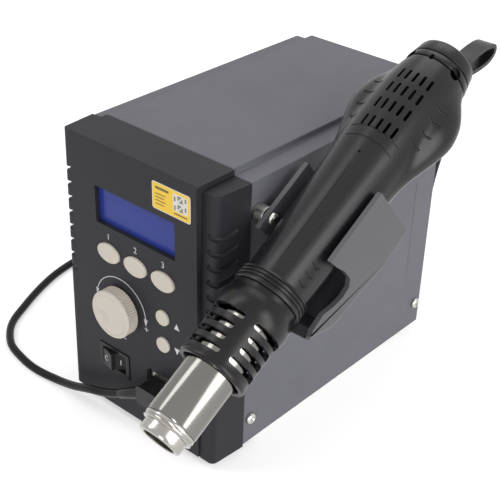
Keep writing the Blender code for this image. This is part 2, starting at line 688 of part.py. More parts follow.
def make_bezel():
    bezel = prism("front_bezel", [bezel_plan()], "XY", 0.0, SHOULDER_HEIGHT, "bezel_black")
    lip_half = INNER_HALF_WIDTH
    lip_top = SHOULDER_HEIGHT - SHEET - GAP
    lip_end = BEZEL_REAR_Y + BEZEL_LIP_LENGTH
    join(bezel, box_between("bezel_lip", (-lip_half, BEZEL_REAR_Y - OVERLAP, 0.0),
                            (lip_half, lip_end, lip_top)))
    inner = lip_half - BEZEL_LIP_WALL
    cavity_front = CASE_FRONT_Y + RECESS_DEPTH + BEZEL_WALL
    cut(bezel, box_between("bezel_cavity", (-inner, cavity_front, BEZEL_WALL),
                           (inner, lip_end + CUT_PAST, lip_top - BEZEL_LIP_WALL)))
    recess = PANEL_HALF_WIDTH + GAP
    cut(bezel, box_between("panel_recess", (-recess, CASE_FRONT_Y - CUT_PAST, -CUT_PAST),
                           (recess, CASE_FRONT_Y + RECESS_DEPTH, SHOULDER_HEIGHT + CUT_PAST)))
    cut(bezel, box_between("bezel_window", (-WINDOW_HALF_WIDTH, CASE_FRONT_Y, WINDOW_BOTTOM),
                           (WINDOW_HALF_WIDTH, cavity_front + CUT_PAST, WINDOW_TOP)))
    grooves = []
    for side in (-1, 1):
        for k in range(GROOVE_COUNT):
            middle = GROOVE_FIRST_Z - k * GROOVE_PITCH
            grooves.append(prism("groove", [groove_plan(side)], "XY", middle - GROOVE_HEIGHT / 2,
                                 middle + GROOVE_HEIGHT / 2))
    cut(bezel, merged("corner_grooves", grooves))
    holes = [rod("lip_hole", SCREW_SHANK_RADIUS + GAP, -CUT_PAST * 2, CUT_PAST * 2, 12, None, None,
                 (side * lip_half, COVER_SCREW_Y[0], COVER_SCREW_Z), SIDE_FACING_RIGHT) for side in (-1, 1)]
    cut(bezel, merged("lip_holes", holes))
    cut(bezel, bracket_holes("lip_bracket_holes"))


def make_rear_panel():
    inset = SHEET + GAP
    section = [(x, max(z, GAP)) for x, z in cover_section(inset)]
    rear = CASE_REAR_Y - REAR_PANEL_INSET
    panel = prism("rear_panel", [section], "XZ", rear - SHEET, rear, "cover_grey")
    body = (INLET_BODY[0] + 2 * GAP, INLET_BODY[1] + 2 * GAP)
    cut(panel, prism("inlet_cutout", [rounded_rectangle((INLET_X, INLET_Z), body, 2.0 * MM)], "XZ",
                     rear - SHEET - CUT_PAST, rear + CUT_PAST))
    slots = []
    for column in (-1, 1):
        for row in range(VENT_ROWS):
            middle = (column * VENT_COLUMN_X, VENT_FIRST_Z + row * VENT_ROW_PITCH)
            outline = rounded_rectangle(middle, (VENT_LENGTH, VENT_HEIGHT), VENT_HEIGHT * 0.35, 1)
            slots.append(prism("vent", [outline], "XZ", rear - SHEET - CUT_PAST, rear + CUT_PAST))
    cut(panel, merged("rear_vents", slots))


def make_inlet():
    rear = CASE_REAR_Y - REAR_PANEL_INSET
    centre = (INLET_X, INLET_Z)
    front = rear + INLET_FLANGE_THICKNESS - INLET_DEPTH - INLET_FLOOR
    inlet = prism("mains_inlet", [rounded_rectangle(centre, INLET_FLANGE, 3.0 * MM)], "XZ",
                  rear + GAP, rear + GAP + INLET_FLANGE_THICKNESS, "satin_black")
    join(inlet, prism("inlet_body", [rounded_rectangle(centre, INLET_BODY, 2.0 * MM)], "XZ",
                      front, rear + GAP + OVERLAP))
    mouth_end = rear + GAP + INLET_FLANGE_THICKNESS + CUT_PAST
    floor = front + INLET_FLOOR
    cut(inlet, prism("inlet_mouth", [rounded_rectangle(centre, INLET_MOUTH, 2.4 * MM)], "XZ",
                     floor, mouth_end))
    for i, (dx, dz) in enumerate(((-PIN_SPREAD, -2.0 * MM), (0.0, 2.2 * MM), (PIN_SPREAD, -2.0 * MM))):
        low = (INLET_X + dx - PIN_SIZE[0] / 2, floor - OVERLAP, INLET_Z + dz - PIN_SIZE[1] / 2)
        high = (INLET_X + dx + PIN_SIZE[0] / 2, rear - 3.0 * MM, INLET_Z + dz + PIN_SIZE[1] / 2)
        join(inlet, box_between(f"inlet_pin_{i + 1}", low, high))


def make_feet():
    profile = [(0.0, -GAP), (FOOT_RADIUS, -GAP), (FOOT_RADIUS, -GAP - FOOT_HEIGHT * 0.8),
               (FOOT_RADIUS - 0.8 * MM, -GAP - FOOT_HEIGHT), (0.0, -GAP - FOOT_HEIGHT)]
    places = [(x, y) for y in FOOT_Y for x in (-FOOT_X, FOOT_X)]
    for i, (x, y) in enumerate(places):
        turned(f"foot_{i + 1}", profile, 12, "soft_black", None, (x, y, 0))


def screw_profile(length):
    """A pan head screw that points down its Z axis, with the underside of its head at zero."""
    head = SCREW_HEAD_RADIUS
    return [(0.0, GAP + SCREW_HEAD_HEIGHT), (head * 0.6, GAP + SCREW_HEAD_HEIGHT * 0.9),
            (head * 0.92, GAP + SCREW_HEAD_HEIGHT * 0.5), (head, GAP),
            (SCREW_SHANK_RADIUS, GAP), (SCREW_SHANK_RADIUS, -length), (0.0, -length)]


def make_cover_screws():
    names = iter(("cover_screw_1", "cover_screw_2", "cover_screw_3", "cover_screw_4"))
    for side, turn in ((1, SIDE_FACING_RIGHT), (-1, SIDE_FACING_LEFT)):
        for y in COVER_SCREW_Y:
            turned(next(names), screw_profile(SCREW_SHANK_LENGTH), 12, "zinc", None,
                   (side * CASE_HALF_WIDTH, y, COVER_SCREW_Z), turn)


def driver_board_corners():
    half_x = DRIVER_BOARD[0] / 2 - STANDOFF_INSET
    half_y = DRIVER_BOARD[1] / 2 - STANDOFF_INSET
    return [(sx * half_x, DRIVER_BOARD_Y + sy * half_y) for sx in (-1, 1) for sy in (-1, 1)]


def make_driver_board():
    low_z = SHEET + STANDOFF_HEIGHT + GAP
    half_x, half_y = DRIVER_BOARD[0] / 2, DRIVER_BOARD[1] / 2
    board = box_between("driver_board", (-half_x, DRIVER_BOARD_Y - half_y, low_z),
                        (half_x, DRIVER_BOARD_Y + half_y, low_z + BOARD_THICKNESS), "board_green")
    top = low_z + BOARD_THICKNESS - OVERLAP
    sink = Vector((-half_x + HEAT_SINK_FROM_SIDE, DRIVER_BOARD_Y - HEAT_SINK_FROM_MIDDLE, top))
    join(board, box_between("heat_sink", sink, sink + Vector(HEAT_SINK)))
    join(board, rod("capacitor", CAPACITOR_RADIUS, top, top + CAPACITOR_HEIGHT, 12, None, None,
                    (half_x - CAPACITOR_FROM_SIDE, DRIVER_BOARD_Y, 0)))


def make_transformer():
    floor = SHEET + GAP
    core_x, core_y, core_z = (size / 2 for size in TRANSFORMER_CORE)
    core = box_between("transformer_core", (-core_x, TRANSFORMER_Y - core_y / 2, floor),
                       (core_x, TRANSFORMER_Y + core_y / 2, floor + 2 * core_z + core_y), "zinc")
    coil_x, coil_y, coil_z = (size / 2 for size in TRANSFORMER_BOBBIN)
    middle = floor + core_z + core_y / 2
    hole = box_between("core_windows", (-coil_x, TRANSFORMER_Y - core_y, middle - coil_z),
                       (coil_x, TRANSFORMER_Y + core_y, middle + coil_z))
    cut(core, hole)
    coil_x -= GAP
    coil_z -= GAP
    box_between("transformer_winding", (-coil_x, TRANSFORMER_Y - coil_y / 2, middle - coil_z),
                (coil_x, TRANSFORMER_Y + coil_y / 2, middle + coil_z), "winding")


# Front panel group: its own frame has X to the right, Y into the case and Z up along the panel
PANEL_HEIGHT = SHOULDER_HEIGHT + TOP_STEP
PANEL_LEAN = math.atan2(PANEL_PROUD_TOP - PANEL_PROUD_BOTTOM, PANEL_HEIGHT)
PANEL_FRAME = make_empty("panel_frame", (0.0, CASE_FRONT_Y - PANEL_PROUD_BOTTOM, 0.0), (PANEL_LEAN, 0, 0))
CHANNEL_PLACES = [(PANEL_CENTRE_X + k * CHANNEL_PITCH, CHANNEL_Z) for k in (-1, 0, 1)]
SWITCH_DEPTH = 10.6 * MM
STEM_END = SWITCH_DEPTH - SWITCH_HEIGHT - BUTTON_TRAVEL - GAP


def make_front_panel():
    bottom_y = CASE_FRONT_Y - PANEL_PROUD_BOTTOM
    top_y = CASE_FRONT_Y - PANEL_PROUD_TOP
    rear_y = CASE_FRONT_Y + RECESS_DEPTH - GAP
    side = [(bottom_y, PANEL_BOTTOM_Z), (top_y, PANEL_HEIGHT - PANEL_EDGE),
            (top_y + PANEL_EDGE, PANEL_HEIGHT), (BEZEL_REAR_Y, PANEL_HEIGHT),
            (BEZEL_REAR_Y, SHOULDER_HEIGHT + GAP), (rear_y, SHOULDER_HEIGHT + GAP), (rear_y, PANEL_BOTTOM_Z)]
    panel = prism("front_panel", [side], "YZ", -PANEL_HALF_WIDTH, PANEL_HALF_WIDTH, "bezel_black")
    pocket = PANEL_HALF_WIDTH - PANEL_WALL
    far = 20.0 * MM
    cut(panel, box_between("panel_pocket", (-pocket, PANEL_WALL, PANEL_WALL * 2),
                           (pocket, far, SHOULDER_HEIGHT - PANEL_WALL), None, PANEL_FRAME))
    near = -8.0 * MM
    openings = []
    openings.append(prism("screen_opening", [rounded_rectangle((PANEL_CENTRE_X, SCREEN_Z),
                    (SCREEN_WIDTH, SCREEN_HEIGHT), 0.6 * MM, 1)], "XZ", near, far))
    for x, z in CHANNEL_PLACES:
        openings.append(rod("channel_hole", CHANNEL_HALF_WIDTH + GAP, near, far, BUTTON_STEPS, None, None,
                            (x, 0, z), FACING_REAR))
        high = (CHANNEL_HALF_HEIGHT + GAP) / (CHANNEL_HALF_WIDTH + GAP)
        openings[-1].data.transform(Matrix.Diagonal((1.0, high, 1.0, 1.0)))
    for z in STEP_BUTTON_Z:
        openings.append(rod("step_hole", STEP_BUTTON_RADIUS + GAP, near, far, BUTTON_STEPS, None, None,
                            (STEP_BUTTON_X, 0, z), FACING_REAR))
    openings.append(rod("shaft_hole", SHAFT_RADIUS + GAP, near, far, 16, None, None,
                        (KNOB_X, 0, KNOB_Z), FACING_REAR))
    rocker = (ROCKER_BODY[0] + 2 * GAP, ROCKER_BODY[1] + 2 * GAP)
    openings.append(prism("rocker_hole", [rounded_rectangle((ROCKER_X, ROCKER_Z), rocker, 0.6 * MM, 1)],
                          "XZ", near, far))
    openings.append(prism("socket_opening", [rounded_rectangle(SOCKET_CENTRE, SOCKET_RECESS, 3.0 * MM)],
                          "XZ", near, far))
    cut(panel, merged("panel_openings", openings, PANEL_FRAME))
    flange = (ROCKER_FLANGE[0] + 2 * GAP, ROCKER_FLANGE[1] + 2 * GAP)
    depth = ROCKER_FLANGE_THICKNESS - ROCKER_FLANGE_PROUD + GAP
    cut(panel, prism("rocker_seat", [rounded_rectangle((ROCKER_X, ROCKER_Z), flange, 0.8 * MM, 2)],
                     "XZ", near, depth, None, PANEL_FRAME))


def make_screen():
    rear = PANEL_WALL + GAP
    half_x = SCREEN_WIDTH / 2 + SCREEN_OVERLAP
    half_z = SCREEN_HEIGHT / 2 + SCREEN_OVERLAP
    box_between("lcd_window", (PANEL_CENTRE_X - half_x, rear, SCREEN_Z - half_z),
                (PANEL_CENTRE_X + half_x, rear + WINDOW_THICKNESS, SCREEN_Z + half_z),
                "screen_blue", PANEL_FRAME)
    near = rear + WINDOW_THICKNESS + GAP
    half_x = SCREEN_WIDTH / 2 + LCD_MARGIN
    half_z = SCREEN_HEIGHT / 2 + LCD_MARGIN
    box_between("lcd_module", (PANEL_CENTRE_X - half_x, near, SCREEN_Z - half_z),
                (PANEL_CENTRE_X + half_x, near + LCD_THICKNESS, SCREEN_Z + half_z), "zinc", PANEL_FRAME)


def make_button(name, x, z, radius, proud, steps, high=1.0):
    """A cap with a flange behind the panel wall and a stem that reaches towards its switch."""
    edge = 0.5 * MM
    flange_near = -(PANEL_WALL + GAP)
    flange_far = flange_near - BUTTON_FLANGE_THICKNESS
    flange = radius + BUTTON_FLANGE
    profile = [(0.0, proud), (radius - edge, proud), (radius, proud - edge), (radius, flange_near),
               (flange, flange_near), (flange, flange_far), (STEM_RADIUS, flange_far),
               (STEM_RADIUS, -STEM_END), (0.0, -STEM_END)]
    turned(name, profile, steps, "button_cream", PANEL_FRAME, (x, 0, z), FACING_FRONT, False, high)


def make_buttons():
    for i, (x, z) in enumerate(CHANNEL_PLACES):
        make_button(f"channel_button_{i + 1}", x, z, CHANNEL_HALF_WIDTH, CHANNEL_PROUD, BUTTON_STEPS,
                    CHANNEL_HALF_HEIGHT / CHANNEL_HALF_WIDTH)
    for name, z in zip(("up_button", "down_button"), STEP_BUTTON_Z):
        make_button(name, STEP_BUTTON_X, z, STEP_BUTTON_RADIUS, STEP_BUTTON_PROUD, BUTTON_STEPS)


def make_knob():
    fluted = []
    for k in range(KNOB_FLUTES * 2):
        angle = math.tau * k / (KNOB_FLUTES * 2)
        radius = KNOB_RADIUS - KNOB_RIM_PROUD - (KNOB_FLUTE_DEPTH if k % 2 else 0.0)
        fluted.append((KNOB_X + radius * math.cos(angle), KNOB_Z + radius * math.sin(angle)))
    face = -KNOB_HEIGHT
    knob = prism("control_knob", [fluted], "XZ", face + KNOB_RIM - OVERLAP, -KNOB_UNDERSIDE, "button_cream",
                 PANEL_FRAME)
    rim = [(0.0, KNOB_HEIGHT), (KNOB_RADIUS - KNOB_RIM * 0.7, KNOB_HEIGHT),
           (KNOB_RADIUS - KNOB_RIM * 0.2, KNOB_HEIGHT - KNOB_RIM * 0.4),
           (KNOB_RADIUS, KNOB_HEIGHT - KNOB_RIM), (0.0, KNOB_HEIGHT - KNOB_RIM)]
    join(knob, turned("knob_face", rim, KNOB_FLUTES, None, PANEL_FRAME, (KNOB_X, 0, KNOB_Z), FACING_FRONT))
    ball = (DIMPLE_RADIUS ** 2 + DIMPLE_DEPTH ** 2) / (2 * DIMPLE_DEPTH)
    dimple = bmesh.new()
    turn = math.radians(215.0)
    centre = Vector((KNOB_X + DIMPLE_FROM_CENTRE * math.cos(turn), face - ball + DIMPLE_DEPTH,
                     KNOB_Z + DIMPLE_FROM_CENTRE * math.sin(turn)))
    bmesh.ops.create_uvsphere(dimple, u_segments=14, v_segments=10, radius=ball,
                              matrix=Matrix.Translation(centre))
    mesh = bpy.data.meshes.new("finger_dimple")
    dimple.to_mesh(mesh)
    dimple.free()
    cut(knob, place(bpy.data.objects.new("finger_dimple", mesh), "finger_dimple", None, PANEL_FRAME))
    cut(knob, rod("knob_bore", SHAFT_RADIUS + GAP, -CUT_PAST, KNOB_UNDERSIDE + SHAFT_IN_KNOB + GAP, 16,
                  None, PANEL_FRAME, (KNOB_X, 0, KNOB_Z), FACING_FRONT))
    rod("knob_shaft", SHAFT_RADIUS, -SWITCH_DEPTH + GAP, KNOB_UNDERSIDE + SHAFT_IN_KNOB, 16, "zinc",
        PANEL_FRAME, (KNOB_X, 0, KNOB_Z), FACING_FRONT)
    half = ENCODER_HALF_SIDE
    encoder = box_between("knob_encoder", (KNOB_X - half, PANEL_WALL + GAP, KNOB_Z - half),
                          (KNOB_X + half, SWITCH_DEPTH - GAP, KNOB_Z + half), "zinc", PANEL_FRAME)
    cut(encoder, rod("encoder_bore", SHAFT_RADIUS + GAP, -SWITCH_DEPTH - CUT_PAST, 0.0, 16, None,
                     PANEL_FRAME, (KNOB_X, 0, KNOB_Z), FACING_FRONT))


def make_control_board():
    half_x, low, high = CONTROL_BOARD
    board = box_between("control_board", (PANEL_CENTRE_X - half_x, SWITCH_DEPTH, low),
                        (PANEL_CENTRE_X + half_x, SWITCH_DEPTH + BOARD_THICKNESS, high), "board_green",
                        PANEL_FRAME)
    places = CHANNEL_PLACES + [(STEP_BUTTON_X, z) for z in STEP_BUTTON_Z]
    for i, (x, z) in enumerate(places):
        half = SWITCH_HALF_SIDE
        join(board, box_between(f"tact_switch_{i + 1}", (x - half, SWITCH_DEPTH - SWITCH_HEIGHT, z - half),
                                (x + half, SWITCH_DEPTH + OVERLAP, z + half), None, PANEL_FRAME))


def make_rocker():
    centre = (ROCKER_X, ROCKER_Z)
    near = -ROCKER_FLANGE_PROUD
    flange_far = near + ROCKER_FLANGE_THICKNESS
    housing = prism("rocker_housing", [rounded_rectangle(centre, ROCKER_FLANGE, 0.8 * MM, 2)], "XZ",
                    near, flange_far, "satin_black", PANEL_FRAME)
    join(housing, prism("rocker_box", [rounded_rectangle(centre, ROCKER_BODY, 0.5 * MM, 1)], "XZ",
                        flange_far - OVERLAP, ROCKER_BODY_DEPTH, None, PANEL_FRAME))
    floor = ROCKER_BODY_DEPTH - ROCKER_FLANGE_THICKNESS
    cut(housing, prism("rocker_mouth", [rounded_rectangle(centre, ROCKER_MOUTH, 0.5 * MM, 1)], "XZ",
                       near - CUT_PAST, floor, None, PANEL_FRAME))
    half_x = ROCKER_MOUTH[0] / 2 - GAP
    half_z = ROCKER_MOUTH[1] / 2 - GAP
    pivot = ROCKER_PIVOT_DEPTH
    reach = 0.93 * half_x
    side = [(-reach * 0.92, -1.4 * MM), (-reach * 0.72, -1.5 * MM), (-reach * 0.45, -1.9 * MM),
            (-reach * 0.22, -ROCKER_CREST * 0.85), (-reach * 0.08, -ROCKER_CREST),
            (reach * 0.06, -ROCKER_CREST), (reach * 0.20, -1.2 * MM), (reach * 0.5, 0.4 * MM),
            (reach, 2.0 * MM), (reach * 0.96, pivot), (reach * 0.5, pivot + 3.6 * MM),
            (-reach * 0.5, pivot + 3.6 * MM),
            (-reach * 0.96, pivot)]
    outline = [(ROCKER_X + u, v) for u, v in side]
    rocker = prism("power_rocker", [outline], "XY", ROCKER_Z - half_z, ROCKER_Z + half_z, "satin_black",
                   PANEL_FRAME)
    soften(rocker, 0.25 * MM, 1, 50.0)


def make_socket():
    near = SOCKET_FRONT_DEPTH
    shell = prism("handset_socket", [rounded_rectangle(SOCKET_CENTRE, SOCKET_SHELL, 1.0 * MM, 2)], "XZ",
                  near, SOCKET_BODY_DEPTH, "zinc", PANEL_FRAME)
    back = (SOCKET_RECESS[0] + 4 * MM, SOCKET_RECESS[1] + 2 * MM)
    plate_near = PANEL_WALL + GAP
    join(shell, prism("socket_plate", [rounded_rectangle(SOCKET_CENTRE, back, 1.0 * MM, 2)], "XZ",
                      plate_near, plate_near + 1.4 * MM, None, PANEL_FRAME))
    bore = (SOCKET_SHELL[0] - 2 * SOCKET_SHELL_WALL, SOCKET_SHELL[1] - 2 * SOCKET_SHELL_WALL)
    cut(shell, prism("socket_bore", [rounded_rectangle(SOCKET_CENTRE, bore, 0.6 * MM, 2)], "XZ",
                     near - CUT_PAST, near + PLUG_REACH + GAP, None, PANEL_FRAME))
    nose = (bore[0] - 2 * GAP, bore[1] - 2 * GAP)
    plug = prism("cord_plug", [rounded_rectangle(SOCKET_CENTRE, nose, 0.6 * MM, 2)], "XZ",
                 -OVERLAP * 2, near + PLUG_REACH, "satin_black", PANEL_FRAME)
    grip = rounded_rectangle(SOCKET_CENTRE, PLUG_GRIP, 2.4 * MM)
    join(plug, prism("plug_grip", [grip], "XZ", -PLUG_PROUD, -OVERLAP, None, PANEL_FRAME))


def make_plug_relief():
    """A tapered sleeve that leads the cord out of the left side of the plug and down."""
    first, second = (Vector(point) * MM for point in LEAD_ROUTE[:2])
    along = (second - first).normalized()
    buried = 3.0 * MM
    length = (second - first).length + buried - GAP
    turn = along.to_track_quat("Z", "Y").to_euler()
    tip = CORD_DIAMETER / 2 + 0.3 * MM
    profile = [(0.0, length), (tip, length), (tip + 0.7 * MM, length * 0.4), (tip + 0.9 * MM, 0.0),
               (0.0, 0.0)]
    relief = turned("plug_relief", profile, 16, "soft_black", None, first - along * buried, turn)
    face = SOCKET_CENTRE[0] - PLUG_GRIP[0] / 2 - GAP
    reach = 20.0 * MM
    cut(relief, box_between("relief_trim", (face, first.y - reach, first.z - reach),
                            (face + reach, first.y + reach, first.z + reach)))


# Handset group: the axis frame has Z along the handset's axis to the rear, X to the right and Y below it
AXIS_FRAME = make_empty("axis_frame", OUTLET, (AXIS_RISE - math.pi / 2, 0, 0))
HANDSET_FRAME = make_empty("handset_frame", (0, 0, 0), (0, 0, HANDSET_ROLL), AXIS_FRAME)


def from_axis(side, below, along):
    """A point given beside, below and along the handset's axis, in the case frame."""
    turn = Matrix.Rotation(AXIS_RISE - math.pi / 2, 3, "X")
    return OUTLET + turn @ Vector((side, below, along))


def spacer_place(point):
    along, below = point
    return from_axis(0.0, below, along)[1:]


def smooth_table(table):
    return smooth_through([(*pair, 0.0) for pair in table], 3)


def read_table(table, along):
    """The value of a smooth table at a place along the axis."""
    for first, second in zip(table, table[1:]):
        if along <= second[0] * MM:
            share = (along / MM - first[0]) / (second[0] - first[0])
            return (first[1] + (second[1] - first[1]) * share) * MM
    return table[-1][1] * MM


WIDTH_TABLE = smooth_table(HOUSING_WIDTHS)
RIDGE_TABLE = smooth_table(RIDGE_HEIGHTS)
SHELL_START = HOUSING_WIDTHS[0][0] * MM


def housing_radius(along, angle):
    """The housing round its axis: a round ridge on top and below, and a lobe swelling out on each side."""
    width = read_table(WIDTH_TABLE, along)
    ridge = read_table(RIDGE_TABLE, along)
    flat = width * LOBE_FLATTEN
    lobe = width * flat / math.hypot(flat * math.sin(angle), width * math.cos(angle))
    blend = 1.2 * MM
    near = max(blend - abs(lobe - ridge), 0.0) / blend
    return max(lobe, ridge) + near * near * blend / 4


def make_shell(name, way):
    """Half of the housing, split along the plane through its axis; way is -1 above and 1 below."""
    rings = []
    stations = [along * MM for along, _ in HOUSING_WIDTHS]
    for along in stations:
        outer = []
        inner = []
        for k in range(SHELL_STEPS + 1):
            angle = math.pi * (k / SHELL_STEPS - 0.5)
            radius = housing_radius(along, angle)
            for line, r in ((outer, radius), (inner, radius - SHELL_WALL)):
                line.append((r * math.sin(angle), way * (r * math.cos(angle) + GAP / 2), along))
        rings.append(outer + inner[::-1])
    return loft(name, rings, "satin_black", HANDSET_FRAME)


def radial_slot(angle, half_angle, along, half_length, reference, inner, outer):
    """A cutter with round ends that stands out from the axis; angles are from the top towards +X."""
    half_arc = half_angle * reference
    radius = min(half_arc, half_length) * 0.96
    flat = rounded_rectangle((0.0, 0.0), (2 * half_arc, 2 * half_length), radius * 0.8, 1)
    outline = []
    for i, (u, v) in enumerate(flat):
        next_u, next_v = flat[(i + 1) % len(flat)]
        pieces = max(1, math.ceil(abs(next_u - u) / (reference * math.radians(24.0))))
        outline += [(u + (next_u - u) * k / pieces, v + (next_v - v) * k / pieces) for k in range(pieces)]
    rings = []
    for r in (inner, outer):
        turns = [(angle + u / reference, v) for u, v in outline]
        rings.append([(r * math.sin(turn), -r * math.cos(turn), along + v) for turn, v in turns])
    return loft("slot", rings)


def make_housing():
    upper = make_shell("upper_shell", -1)
    make_shell("lower_shell", 1)
    reference = RIDGE_HEIGHTS[-5][1] * MM
    half_width, half_length = (size / 2 for size in VENT_SLOT)
    vents = [radial_slot(math.radians(angle), half_width / reference, along, half_length, reference,
                         reference - SHELL_WALL - CUT_PAST, reference + CUT_PAST)
             for angle in VENT_ANGLES for along in VENT_STATIONS]
    cut(upper, merged("vent_slots", vents, HANDSET_FRAME))


def make_end_cap():
    end = CAP_END
    profile = [(0.0, end), (CAP_END_RADIUS * 0.75, end - 0.3 * MM), (CAP_END_RADIUS * 0.93, end - 1.3 * MM),
               (CAP_END_RADIUS, CAP_SIDE_END), (CAP_START_RADIUS, CAP_START + 2.0 * MM),
               (CAP_START_RADIUS, CAP_START), (CAP_START_RADIUS - CAP_WALL, CAP_START),
               (CAP_END_RADIUS - CAP_WALL, CAP_SIDE_END - 0.8 * MM), (0.0, end - CAP_WALL)]
    cap = turned("end_cap", profile, 20, "satin_black", HANDSET_FRAME)
    low, high = LOOP_STEM
    half = LOOP_WIDTH / 2
    cut(cap, box_between("loop_slot", (-half - GAP, low - GAP, CAP_SIDE_END - CUT_PAST),
                         (half + GAP, high + GAP, CAP_END + CUT_PAST), None, AXIS_FRAME))
    turn = GLAND_DIRECTION.to_track_quat("Z", "Y").to_euler()
    cut(cap, rod("gland_hole", GLAND_RADIUS + GAP, GLAND_INNER - CUT_PAST, GLAND_INNER + GLAND_LENGTH, 16,
                 None, AXIS_FRAME, (0, 0, GLAND_AXIS_START), turn))
    profile = [(0.0, GLAND_INNER + GLAND_LENGTH), (GLAND_TIP_RADIUS, GLAND_INNER + GLAND_LENGTH),
               (GLAND_RADIUS, GLAND_INNER + GLAND_LENGTH * 0.3), (GLAND_RADIUS, GLAND_INNER),
               (0.0, GLAND_INNER)]
    turned("handset_gland", profile, 16, "soft_black", AXIS_FRAME, (0, 0, GLAND_AXIS_START), turn)


def inset_outline(points, distance):
    """A closed outline moved inwards all round."""
    made = []
    count = len(points)
    area = sum(points[i][0] * points[(i + 1) % count][1] - points[(i + 1) % count][0] * points[i][1]
               for i in range(count))
    way = 1.0 if area > 0 else -1.0
    for i in range(count):
        before, here, after = (Vector(points[(i + k) % count]) for k in (-1, 0, 1))
        along = ((here - before).normalized() + (after - here).normalized()).normalized()
        made.append(tuple(here + way * Vector((-along.y, along.x)) * distance))
    return made


def make_hang_loop():
    outer = [(along * MM, below * MM) for along, below in LOOP_OUTLINE]
    half = LOOP_WIDTH / 2
    loop = prism("hang_loop", [outer, inset_outline(outer, LOOP_THICKNESS)], "ZY", -half, half,
                 "satin_black", AXIS_FRAME)
    low, high = LOOP_STEM
    join(loop, box_between("loop_stem", (-half, low, LOOP_STEM_START),
                           (half, high, outer[0][0] + LOOP_THICKNESS * 0.6), None, AXIS_FRAME))


def make_hot_end():
    collar_end = TUBE_START - GAP
    inner_tube = TUBE_RADIUS - TUBE_WALL
    spigot = inner_tube - GAP
    spigot_end = collar_end + 5.0 * MM
    bore = spigot - 1.3 * MM
    bead_start = collar_end - 2.8 * MM
    profile = [(spigot, spigot_end), (spigot, collar_end), (BEAD_RADIUS, collar_end),
               (BEAD_RADIUS, bead_start), (LIP_RADIUS + 0.1 * MM, bead_start - 0.4 * MM),
               (LIP_RADIUS, LIP_START + 0.7 * MM), (LIP_RADIUS - 0.7 * MM, LIP_START),
               (OUTLET_RADIUS, LIP_START), (OUTLET_RADIUS, LIP_START + 2.4 * MM),
               (bore, LIP_START + 3.9 * MM), (bore, spigot_end)]
    turned("outlet_collar", profile, HOT_END_STEPS, "polished_steel", HANDSET_FRAME, ring=True)
    profile = [(TUBE_RADIUS, TUBE_END), (TUBE_RADIUS, TUBE_START), (inner_tube, TUBE_START),
               (inner_tube, TUBE_END)]
    turned("steel_tube", profile, HOT_END_STEPS, "polished_steel", HANDSET_FRAME, ring=True)
    neck = bore - GAP
    step = spigot_end + GAP
    profile = [(0.0, CORE_END), (spigot, CORE_END), (spigot, step), (neck, step), (neck, CORE_START),
               (0.0, CORE_START)]
    turned("heater_core", profile, HOT_END_STEPS, "ceramic", HANDSET_FRAME)


def make_heat_guard():
    seat = TUBE_RADIUS + GAP
    body = GUARD_RADIUS
    bulge = GUARD_BULGE_RADIUS
    neck = GUARD_NECK_RADIUS
    bulge_at = GUARD_END - GUARD_BULGE_FROM_END
    profile = [(neck, GUARD_END), (neck + 0.1 * MM, bulge_at + 7.0 * MM),
               (bulge - 0.7 * MM, bulge_at + 4.0 * MM), (bulge, bulge_at),
               (bulge - 0.7 * MM, bulge_at - 4.0 * MM), (body, bulge_at - 7.5 * MM),
               (body, GUARD_START + 3.2 * MM), (body + 0.4 * MM, GUARD_START + 1.4 * MM),
               (body + 0.2 * MM, GUARD_START), (body - GUARD_WALL, GUARD_START),
               (body - GUARD_WALL, bulge_at - 7.5 * MM), (bulge - GUARD_WALL, bulge_at),
               (bulge - GUARD_WALL - 0.9 * MM, bulge_at + 5.0 * MM), (seat, bulge_at + 7.4 * MM),
               (seat, GUARD_END)]
    guard = turned("heat_guard", profile, HOT_END_STEPS, "satin_black", HANDSET_FRAME, ring=True)
    slots = []
    for column in range(GUARD_COLUMNS):
        middle = math.radians(GUARD_SPINE_ANGLE) + math.tau * (column + 0.5) / GUARD_COLUMNS
        for along, half in zip(GUARD_SLOT_STATIONS, GUARD_SLOT_HALF_ANGLES):
            slots.append(radial_slot(middle, math.radians(half), along, GUARD_SLOT_HEIGHT / 2, body,
                                     body - GUARD_WALL - 2 * CUT_PAST, body + 2 * CUT_PAST))
    cut(guard, merged("guard_slots", slots, HANDSET_FRAME))


def make_ribbed_collar():
    start = GUARD_END + GAP
    end = start + RIBBED_LENGTH
    spigot = SHELL_START + SPIGOT_LENGTH
    spigot_radius = HOUSING_WIDTHS[0][1] * MM - SHELL_WALL - GAP
    pitch = RIBBED_LENGTH / (RIB_COUNT + 1)
    profile = [(spigot_radius, spigot), (spigot_radius, end), (RIBBED_RADIUS - 0.4 * MM, end)]
    for k in range(RIB_COUNT):
        middle = end - pitch * (k + 1)
        half = pitch * 0.26
        profile += [(RIBBED_RADIUS, middle + half * 1.2), (RIBBED_RADIUS - RIB_GROOVE, middle + half * 0.6),
                    (RIBBED_RADIUS - RIB_GROOVE, middle - half * 0.6), (RIBBED_RADIUS, middle - half * 1.2)]
    bore = TUBE_RADIUS + GAP
    profile += [(RIBBED_RADIUS - 0.3 * MM, start), (bore, start), (bore, spigot)]
    turned("ribbed_collar", profile, HOT_END_STEPS, "satin_black", HANDSET_FRAME, ring=True)


